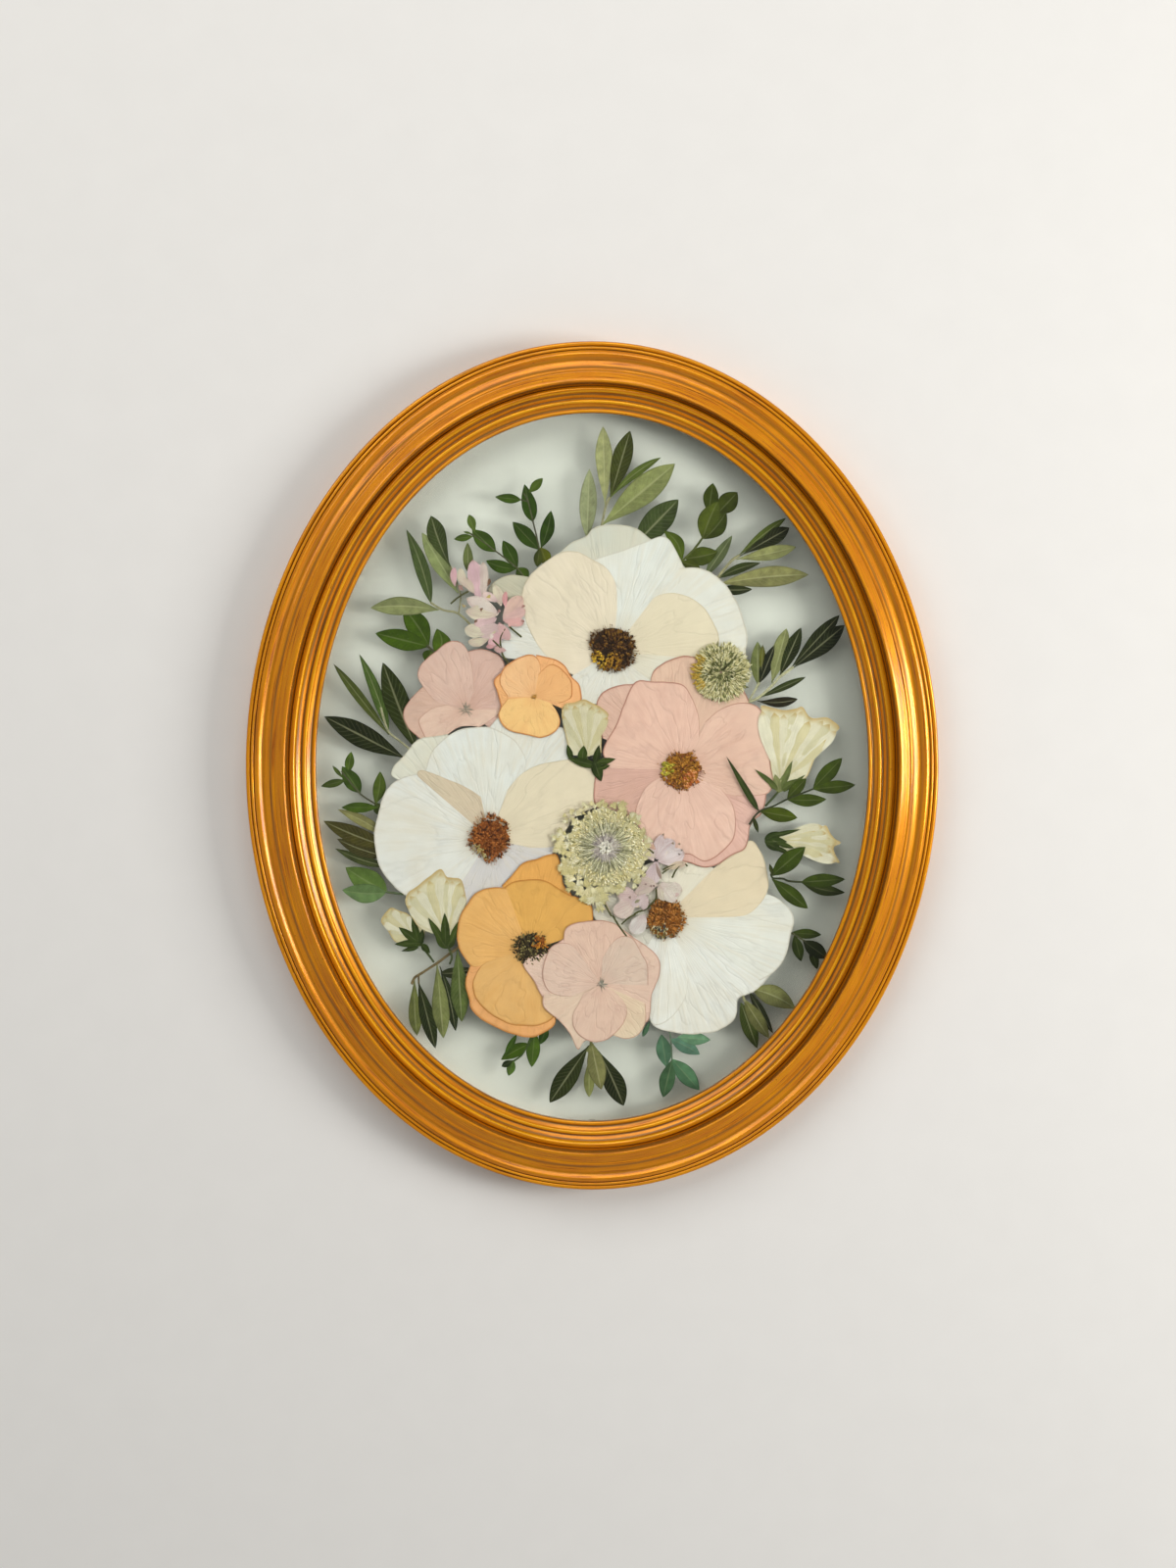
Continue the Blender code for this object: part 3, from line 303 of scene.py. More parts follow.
def dried_leaf(name, rib_share, gloss, ageing):
    """A leaf pressed and dried: leathery, a pale midrib, faint side veins, one half a little darker.

    Its tint is darkened and yellowed by ageing. The darker half and the darker margin are painted
    shade, and the lighter half painted light.
    """
    made, tree, shader = new_material(name)
    fresh = add_node(tree, "Attribute", {"attribute_name": "tint"}, {})
    tint = add_node(tree, "Mix", TIMES, {0: 1.0, 6: fresh, 7: linear(ageing)})
    place = add_node(tree, "Attribute", {"attribute_name": "place"}, {}).outputs["Vector"]
    axes = add_node(tree, "SeparateXYZ", {}, {0: place}).outputs
    where = add_node(tree, "TexCoord", {}, {}).outputs["Object"]
    off_rib = add_node(tree, "Math", {"operation": "ABSOLUTE"}, {0: axes["X"]})
    rib = add_node(tree, "MapRange", SMOOTH, {"Value": off_rib, 1: 0.13, 2: 0.02, 3: 0.0, 4: rib_share})
    # Side veins leave the midrib forwards, so they follow the share along less the share across.
    slant = add_node(tree, "Math", {"operation": "MULTIPLY_ADD"}, {0: off_rib, 1: -0.16, 2: axes["Y"]})
    turns = add_node(tree, "Math", {"operation": "MULTIPLY"}, {0: slant, 1: 88.0})
    wave = add_node(tree, "Math", {"operation": "SINE"}, {0: turns})
    side = add_node(
        tree, "MapRange", SMOOTH, {"Value": wave, 1: 0.7, 2: 1.0, 3: 0.0, 4: rib_share * 0.22}
    )
    veins = add_node(tree, "Math", {"operation": "MAXIMUM"}, {0: rib, 1: side})
    # Blotches about 4 mm across.
    blotch = add_node(
        tree, "TexNoise", {}, {"Vector": where, "Scale": 260.0, "Detail": 5.0, "Roughness": 0.6}
    )
    shade = add_node(tree, "MapRange", {}, {"Value": blotch, 1: 0.3, 2: 0.7, 3: 0.72, 4: 1.3})
    # One half is painted darker and the other lighter: painted shade and light on the two sides of the
    # midrib.
    half = add_node(tree, "MapRange", {}, {"Value": axes["X"], 1: -0.1, 2: 0.1, 3: 0.88, 4: 1.1})
    blotched_and_side_lit = add_node(tree, "Math", {"operation": "MULTIPLY"}, {0: shade, 1: half})
    mottled = add_node(tree, "Mix", TIMES, {0: 1.0, 6: tint, 7: blotched_and_side_lit})
    pale = add_node(tree, "Mix", BLEND, {0: 0.42, 6: tint, 7: linear("D8D6A8")})
    ribbed = add_node(tree, "Mix", BLEND, {0: veins, 6: mottled, 7: pale})
    # Towards the margin the tint is painted almost black: painted shade along the leaf's edge.
    edge = add_node(tree, "MapRange", SMOOTH, {"Value": off_rib, 1: 0.82, 2: 1.0, 3: 0.0, 4: 0.5})
    edge_shade_colour = add_node(tree, "Mix", BLEND, {0: 0.75, 6: tint, 7: linear("120F02")})
    edge_shaded = add_node(tree, "Mix", BLEND, {0: edge, 6: ribbed, 7: edge_shade_colour})
    height = add_node(tree, "Math", {"operation": "SUBTRACT"}, {0: blotch, 1: veins})
    bump = add_node(tree, "Bump", {}, {"Height": height, "Strength": 0.4, "Distance": 0.0002})
    feed(tree, shader, {"Base Color": edge_shaded, "Roughness": gloss, "Normal": bump})
    feed(tree, shader, {"Specular IOR Level": 0.12})
    return made


def dried_strand(name):
    """Stalks, stamens and florets: stiff dry fibre, tinted strand by strand and a little uneven."""
    made, tree, shader = new_material(name)
    tint = add_node(tree, "Attribute", {"attribute_name": "tint"}, {})
    where = add_node(tree, "TexCoord", {}, {}).outputs["Object"]
    # Grains about 1 mm across, as coarse as they need to be to show.
    grains = add_node(tree, "TexNoise", {}, {"Vector": where, "Scale": 1000.0, "Detail": 2.0})
    shade = add_node(tree, "MapRange", {}, {"Value": grains, 1: 0.3, 2: 0.7, 3: 0.65, 4: 1.25})
    tone = add_node(tree, "Mix", TIMES, {0: 1.0, 6: tint, 7: shade})
    feed(tree, shader, {"Base Color": tone, "Roughness": 0.75, "Specular IOR Level": 0.25})
    return made


def matt_painted_board():
    """Board rolled with matt white paint: bright and even, with faint patches where the roller lapped."""
    made, tree, shader = new_material("matt_painted_board")
    patches = add_node(tree, "TexNoise", {}, {"Scale": 300.0, "Detail": 3.0})
    tone = add_node(tree, "Mix", BLEND, {0: patches, 6: linear("EAE8E4"), 7: linear("EEECE8")})
    feed(tree, shader, {"Base Color": tone, "Roughness": 0.9})
    return made


# Curves


def smooth_curve(points, steps):
    """Points along the Catmull-Rom curve through these, with this many steps from one to the next."""
    points = [Vector(point) for point in points]
    last = len(points) - 1
    curve = []
    for i in range(last):
        a, b, c, d = (points[min(max(i + k, 0), last)] for k in (-1, 0, 1, 2))
        for step in range(steps):
            t = step / steps
            curve.append(
                0.5 * (2 * b + (c - a) * t + (2 * a - 5 * b + 4 * c - d) * t**2
                       + (3 * b - 3 * c + d - a) * t**3)
            )
    return curve + [points[-1]]


def oval(u, turn):
    """The point u outside the sight edge, at this turn round the oval."""
    return (SIGHT_X + u) * math.cos(turn), (SIGHT_Y + u) * math.sin(turn)


def heading(turn):
    """The unit step at this turn, counted from +X towards +Y."""
    return Vector((math.cos(turn), math.sin(turn)))


def wobble(x, y, seed, wavelength):
    """A smooth value from about -1 to 1 that changes over this many millimetres."""
    return noise.noise(Vector((x / wavelength, y / wavelength, seed * 7.31)))


# Plants


class Plant:
    """Collects one plant's sheets and strands, and makes them one mesh."""

    def __init__(self, seed):
        self.points = []
        self.faces = []
        self.places = []
        self.tints = []
        self.slots = []
        self.seed = seed % SEEDS
        self.dice = random.Random(seed)

    def add_tube(self, rings, tint, slot):
        """A closed body through rings of (point, place)."""
        start = len(self.points)
        width = len(rings[0])
        colour = linear(tint)
        for ring in rings:
            for point, place in ring:
                self.points.append(point)
                self.places.append(place)
                self.tints.append(colour)
        for i in range(len(rings) - 1):
            for j in range(width):
                a = start + i * width + j
                b = start + i * width + (j + 1) % width
                self.faces.append((a, b, b + width, a + width))
        # Each end is closed by a strip of quads, since the rim of a petal is far from flat.
        end = start + (len(rings) - 1) * width
        for j in range(width // 2 - 1):
            corners = (j, j + 1, width - 2 - j, width - 1 - j)
            self.faces.append(tuple(start + corner for corner in reversed(corners)))
            self.faces.append(tuple(end + corner for corner in corners))
        self.slots += [slot] * (len(self.faces) - len(self.slots))

    def add_sheet(self, rows, tint, slot):
        """A thin closed sheet through rows of (point, place)."""
        rings = []
        for row in rows:
            under = [((x, y, z - SHEET), place) for (x, y, z), place in row]
            rings.append(row + under[::-1])
        self.add_tube(rings, tint, slot)

    def petal(self, base, rim, tint, lift, ruffle=0.5, slot=0, rows_out=PETAL_ROWS, steps=RIM_STEPS):
        """A petal from its base out to its rim, which runs through these points."""
        self.seed = (self.seed + 1) % SEEDS
        base = Vector(base)
        curve = smooth_curve(rim, steps)
        rows = []
        for i in range(rows_out + 1):
            s = PETAL_START + (1 - PETAL_START) * (i / rows_out) ** 0.8
            row = []
            for j, edge in enumerate(curve):
                t = j / (len(curve) - 1)
                # The rim is frayed in small teeth and slow waves, which fade at its two ends.
                fray = wobble(edge.x, edge.y, self.seed, 3.2) * 0.35 + wobble(edge.x, edge.y, self.seed, 9)
                reach = edge + (edge - base).normalized() * fray * ruffle * math.sin(math.pi * t) ** 0.3
                x, y = base + (reach - base) * s
                z = lift + 0.012 * wobble(x, y, self.seed, 7)
                row.append(((x, y, z), (t, s, self.seed)))
            rows.append(row)
        self.add_sheet(rows, tint, slot)

    def floret(self, base, turn, length, spread, tint, lift, slot=0):
        """A small petal with a toothed rim, fanning out from its base at this turn."""
        rim = []
        for k in range(7):
            reach = length * (0.8 if k % 2 else 1.0) * self.dice.uniform(0.9, 1.05)
            rim.append(Vector(base) + reach * heading(turn + spread * (k / 6 - 0.5)))
        self.petal(base, rim, tint, lift, 0.1, slot, rows_out=3, steps=2)

    def leaf(self, base, tip, width, bow, belly, tint, lift, slot=0, blunt=0.85):
        """A leaf from base to tip, bowed to its left by bow, and widest at belly of its length."""
        self.seed = (self.seed + 1) % SEEDS
        base, tip = Vector(base), Vector(tip)
        along = tip - base
        left = Vector((-along.y, along.x)).normalized()
        power = math.log(0.5) / math.log(belly)
        rows = []
        for i in range(LEAF_ROWS + 1):
            s = i / LEAF_ROWS
            middle = base + along * s + left * bow * 4 * s * (1 - s)
            half = width / 2 * math.sin(math.pi * min(s, 0.999) ** power) ** blunt
            half = max(half, LEAF_FOOT * (1 - s))
            row = []
            for j in range(LEAF_COLUMNS):
                a = 2 * j / (LEAF_COLUMNS - 1) - 1
                edge = 1 + 0.05 * wobble(middle.x, middle.y, self.seed + a, 6)
                x, y = middle + left * half * a * edge
                z = lift + 0.05 * (1 - abs(a)) + 0.02 * wobble(x, y, self.seed, 5)
                row.append(((x, y, z), (a, s, self.seed)))
            rows.append(row)
        self.add_sheet(rows, tint, slot)

    def stalk(self, points, width, tint, lift, slot=1):
        """A pressed stalk: a flattened tube along these points."""
        curve = smooth_curve(points, 4)
        last = len(curve) - 1
        rows = []
        for i, middle in enumerate(curve):
            along = curve[min(i + 1, last)] - curve[max(i - 1, 0)]
            left = Vector((-along.y, along.x)).normalized()
            girth = width / 2 * (1 + 0.15 * wobble(middle.x, middle.y, self.seed, 4))
            row = []
            for k in range(6):
                turn = math.tau * k / 6
                x, y = middle + left * girth * math.cos(turn)
                row.append(((x, y, lift + 0.3 * girth * math.sin(turn)), (k / 6, i / last, self.seed)))
            rows.append(row)
        self.add_tube(rows, tint, slot)

    def strand(self, start, end, width, tint, slot=1):
        """A straight hair-thin strand between two points, tapering to its end."""
        start, end = Vector(start), Vector(end)
        along = (end - start).normalized()
        left = along.cross(Vector((0, 0, 1))).normalized()
        up = left.cross(along)
        rows = []
        for s, girth in ((0.0, 0.5), (0.6, 0.4), (1.0, 0.15)):
            middle = start.lerp(end, s)
            row = []
            for k in range(4):
                turn = math.tau * k / 4
                point = middle + (left * math.cos(turn) + up * math.sin(turn)) * width * girth
                row.append((tuple(point), (k / 4, s, self.seed)))
            rows.append(row)
        self.add_tube(rows, tint, slot)

    def grain(self, middle, length, width, turn, tint, slot=1):
        """A small rounded grain, such as an anther, lying at this turn."""
        along = heading(turn).to_3d()
        left = Vector((-along.y, along.x, 0))
        middle = Vector(middle)
        rows = []
        for share in (-0.95, -0.5, 0.2, 0.95):
            girth = width / 2 * math.sqrt(1 - share**2)
            row = []
            for k in range(6):
                angle = math.tau * k / 6
                offset = left * math.cos(angle) + Vector((0, 0, 0.8)) * math.sin(angle)
                point = middle + along * share * length / 2 + offset * girth
                row.append((tuple(point), (k / 6, share, self.seed)))
            rows.append(row)
        self.add_tube(rows, tint, slot)

    def finish(self, name, node, materials):
        """Makes the mesh, and puts it where the CAD node is."""
        mesh = bpy.data.meshes.new(name)
        mesh.from_pydata([Vector(point) * MM for point in self.points], [], self.faces)
        place = mesh.attributes.new("place", "FLOAT_VECTOR", "POINT")
        place.data.foreach_set("vector", [value for row in self.places for value in row])
        tint = mesh.attributes.new("tint", "FLOAT_COLOR", "POINT")
        tint.data.foreach_set("color", [value for row in self.tints for value in row])
        mesh.polygons.foreach_set("material_index", self.slots)
        dress(mesh, materials)
        settle(add_object(name, mesh), node)


def dress(mesh, materials):
    """Turns the faces outwards, smooths all but the sharp edges, and adds the materials."""
    work = bmesh.new()
    work.from_mesh(mesh)
    bmesh.ops.recalc_face_normals(work, faces=work.faces)
    work.to_mesh(mesh)
    work.free()
    mesh.shade_smooth()
    mesh.set_sharp_from_angle(angle=SHARP_EDGE)
    for material in materials:
        mesh.materials.append(material)


def add_object(name, data):
    made = bpy.data.objects.new(name, data)
    bpy.context.scene.collection.objects.link(made)
    return made


def oval_middle():
    """The middle of the oval on the floor, in metres."""
    low, high = CAD_BOX
    return Vector(((low.x + high.x) / 2, (low.y + high.y) / 2, 0))


def settle(piece, *nodes):
    """Moves the piece to where it stands for these CAD nodes, and ties it to the body."""
    piece.location = oval_middle()
    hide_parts(*nodes)
    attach(piece, "root")


def layer_z(node):
    """The height in mm at which a pressed piece starts, from its CAD node."""
    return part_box(node)[0].z / MM


# Blooms. A bloom is its base and its petals, back to front: a tint, and the points its rim passes.

BLOOMS = {
    "white_bloom_top": ((10, 58), (
        ("B9B5A2", ((-31, 94), (-40, 95), (-48, 91), (-50, 86), (-43, 82), (-35, 81))),
        ("C8C8BD", (
            (-20, 100), (-12, 109), (-3, 113.5), (0, 117), (6, 119), (14, 118.7), (22, 117), (28, 112),
            (36, 108))),
        ("DADBD7", ((0, 102), (12, 106), (24, 110), (33, 113.5), (38, 111), (42, 103), (45, 97))),
        ("DBDAD4", (
            (42, 98), (50, 98.5), (57, 96), (63, 91.5), (68, 85), (72, 77), (74.5, 68), (74.5, 60),
            (70, 51))),
        ("D9D5C8", ((74, 60), (74, 52), (68, 46), (58, 42), (46, 40), (34, 38), (24, 36), (14, 34))),
        ("DCD0B8", (
            (26, 78), (30, 84), (38, 86.3), (46, 84.5), (53, 80), (58, 73), (61, 66), (61, 60), (56, 54))),
        ("D8D9D6", ((-33, 80), (-42, 72), (-46, 64), (-44, 56), (-35, 54))),
        ("DFD2BE", (
            (12, 78), (11.5, 90), (7, 98), (0, 102.5), (-8, 106), (-15, 105.5), (-24, 100), (-31, 93),
            (-34, 84), (-32, 73), (-27, 62), (-19, 53), (-8, 46))),
        ("D9D7D0", ((-10, 46), (-6, 38), (-3, 32), (3, 33), (8, 36), (18, 42), (28, 44))),
    )),
    "white_bloom_left": ((-50, -33), (
        ("DAD9D4", ((-50, 21), (-44, 27), (-35, 26), (-22, 22), (-13, 20), (-11, 10), (-12, 4))),
        ("D8D6CA", ((-84, -2), (-96, -3), (-97, 1), (-92, 7), (-85, 15), (-76, 17), (-70, 18))),
        ("DCDDDA", (
            (-81, 0), (-79, 7), (-75, 13), (-68, 18.5), (-60, 21), (-50, 21), (-42, 18), (-36, 13),
            (-32, 4), (-36, -3), (-42, -10))),
        ("CFCBCD", (
            (-72, -56), (-66, -62), (-61, -66), (-50, -64), (-42, -56), (-30, -47), (-20, -41),
            (-17, -37))),
        ("DEDDD9", (
            (-83, -1), (-92, -3), (-99, -8), (-104, -20), (-106, -33), (-104, -46), (-97, -56),
            (-88, -62), (-76, -62), (-66, -58))),
        ("CDBBA4", (
            (-57, -15.4), (-68, -12.4), (-77, -8.4), (-84.6, -2.4), (-82, 0.4), (-70, -4), (-60, -8.5),
            (-54, -12.6))),
        ("DDD0B8", (
            (-41, -9), (-35, -2), (-26, 3), (-16, 5), (-8, 6), (-2, 6), (2, 0), (4, -9), (2, -17),
            (-8, -22), (-13, -29), (-18, -36.5), (-30, -37.5))),
    )),
    "white_bloom_right": ((35.5, -72), (
        ("D2CDC2", (
            (28, -49), (20, -47), (12, -48), (2, -54), (0, -62), (1, -72), (8, -79), (22, -86), (30, -88))),
        ("E0DFDB", ((62, -128), (50, -129.5), (40, -129), (30, -125), (26, -115), (25, -98), (27, -86))),
        ("DDDCD8", (
            (93, -90), (86, -102), (80, -108), (72, -112), (71, -119), (68, -124), (60, -128.5),
            (50, -129.5))),
        ("DCDBD5", ((80, -59), (90, -62), (98, -70), (97.5, -80), (95, -90), (90, -98), (82, -103))),
        ("E2E1DD", ((46, -92), (47, -103), (45, -113), (38, -122), (30, -125), (27, -112), (28, -95))),
        ("DFD9CB", (
            (20, -52), (28, -45), (40, -44), (50, -45), (59, -47), (60, -53), (56, -58), (51, -62))),
        ("DCCBB0", (
            (51, -61), (57, -52), (62, -45), (70, -40), (77, -34), (82, -39), (85, -48), (86, -57),
            (82, -65), (75, -70.5), (64, -71.5), (55, -70))),
    )),
    "pink_bloom_large": ((43.5, 0.5), (
        ("D8B6A2", ((28, 43), (30, 49), (37, 54), (46, 56), (58, 52), (70, 44), (76, 34))),
        ("D8B4A4", ((5, 16), (2, 27), (3, 36), (8, 40), (15, 42), (22, 42))),
        ("D2A99C", ((13, 1), (4, 2), (1, -8), (2, -18), (10, -25), (21, -27))),
        ("D9B0A4", (
            (85, -10), (83, -20), (79, -24), (76.5, -28), (76, -33), (74, -38), (68, -41), (61, -46),
            (55, -47), (48, -45), (42, -44))),
        ("DDB9A8", (
            (55, 24), (62, 30), (71, 33), (80, 31.5), (85, 25), (87, 14), (86.5, 4), (88, -6), (85, -11),
            (74, -12), (66, -11.5), (58, -7))),
        ("E0BAAA", (
            (8, 1.5), (6, 6), (5.5, 11), (12, 24), (20, 42.3), (30, 43.3), (43, 42.5), (48, 36),
            (51.5, 27), (52, 17))),
        ("E3BFB0", (
            (63, -9), (68, -16), (70, -25), (68.5, -34), (62, -40.5), (55, -44), (48, -41), (40, -40.5),
            (30, -38), (24, -30), (21, -22), (22, -16), (26, -8), (33, -3))),
    )),
    "pink_bloom_small": ((-61, 30), (
        ("D2B0A4", (
            (-60, 58), (-52, 59), (-45, 56), (-42, 50), (-42, 40), (-42, 31), (-44, 24), (-50, 21))),
        ("CFAE9E", ((-82, 41), (-88, 35), (-91.5, 28), (-90, 22), (-85, 17), (-82, 14), (-79, 15))),
        ("D5B5A8", (
            (-74, 33), (-77, 35), (-82, 41), (-84.5, 47), (-82, 53), (-76, 58), (-70, 62.5), (-64, 62.5),
            (-60, 58), (-58, 50), (-57, 39))),
        ("DBBCAC", (
            (-71, 32), (-78, 30), (-84, 25), (-83, 20), (-80, 15), (-74, 15), (-70, 18), (-65, 21),
            (-58, 22), (-54, 22), (-46, 27), (-44.5, 30))),
    )),
    "peach_bloom": ((-28, 36), (
        ("ECB27C", (
            (-27, 56.5), (-20, 55), (-14, 52), (-10, 46), (-6, 42), (-5, 35), (-9, 31), (-13, 30),
            (-18, 32))),
        ("E8AE76", ((-38, 52), (-47, 45), (-46, 38), (-44.5, 32), (-45, 26), (-38, 26))),
        ("E9BA8A", (
            (-41, 36), (-45, 43), (-43, 50), (-37, 54.5), (-30, 56.5), (-26, 54), (-25, 48), (-27, 42))),
        ("E8B27A", ((-26, 47), (-20, 52), (-14, 49), (-10, 44), (-9.5, 38), (-11, 35), (-16, 33))),
        ("EBC080", (
            (-41, 35), (-45.5, 28), (-43, 22), (-38, 19), (-30, 17), (-24, 16.2), (-18, 19), (-15.5, 24),
            (-17, 29), (-20, 33))),
    )),
    "apricot_bloom": ((-31, -88), (
        ("E0A557", (
            (-44, -56), (-40, -52), (-34, -45), (-27, -43), (-20, -40.5), (-17, -41), (-15, -47),
            (-14, -55), (-10, -60))),
        ("E7A96F", (
            (-59, -94), (-61, -99), (-62, -105), (-60, -112), (-59, -117), (-53, -123), (-45, -127),
            (-37, -130), (-30, -131), (-24, -129), (-18, -124), (-18, -110))),
        ("DBA757", (
            (-49, -75), (-50, -70), (-47, -63), (-43, -57), (-37, -54), (-27, -53), (-20, -55),
            (-12, -60), (-6, -62), (0, -66), (0, -78))),
        ("E3B06C", (
            (-42, -57), (-50, -57), (-57, -60), (-61, -65), (-65, -72), (-66, -79), (-65, -87),
            (-62, -92), (-58, -96), (-50, -94))),
        ("DFB070", (
            (-44, -91), (-52, -94), (-56, -98), (-58.5, -105), (-56, -113), (-48, -121), (-38, -125),
            (-26, -125), (-18, -120), (-16, -108))),
    )),
    "blush_bloom": ((4.5, -104.5), (
        ("DDC0B1", ((-14, -82), (-24, -89), (-34, -93.5), (-29, -102), (-24, -111), (-18, -112))),
        ("DDC4B0", (
            (-24, -110), (-23.5, -116), (-17, -122), (-11, -129), (-7, -136.8), (-4, -133), (1, -131))),
        ("DBBBAA", ((-14, -83), (-12, -76), (0, -73), (10, -74), (16, -78), (20, -81))),
        ("D9BBAB", (
            (18, -80), (27, -86), (32.5, -92), (33, -99), (31, -105), (29, -110), (28.5, -118),
            (27, -123), (22, -124))),
        ("DDC8AE", ((26, -114), (26, -124), (22, -130), (16, -131.5), (9, -129.5))),
        ("D2BBAC", ((5, -92), (9, -85), (14, -81), (20, -82), (24, -89), (27, -95), (27.5, -105))),
        ("D9BDAE", (
            (-2, -97), (-8, -87), (-14, -84), (-20, -86), (-23, -92), (-24.5, -100), (-22, -107),
            (-17, -110), (-10, -110.5))),
        ("DABBAA", (
            (-4, -109), (-7, -115), (-9.5, -120), (-9, -126), (-5, -131), (1, -133.5), (8, -131.5),
            (14, -126), (17, -119), (16, -114), (11, -108))),
    )),
}

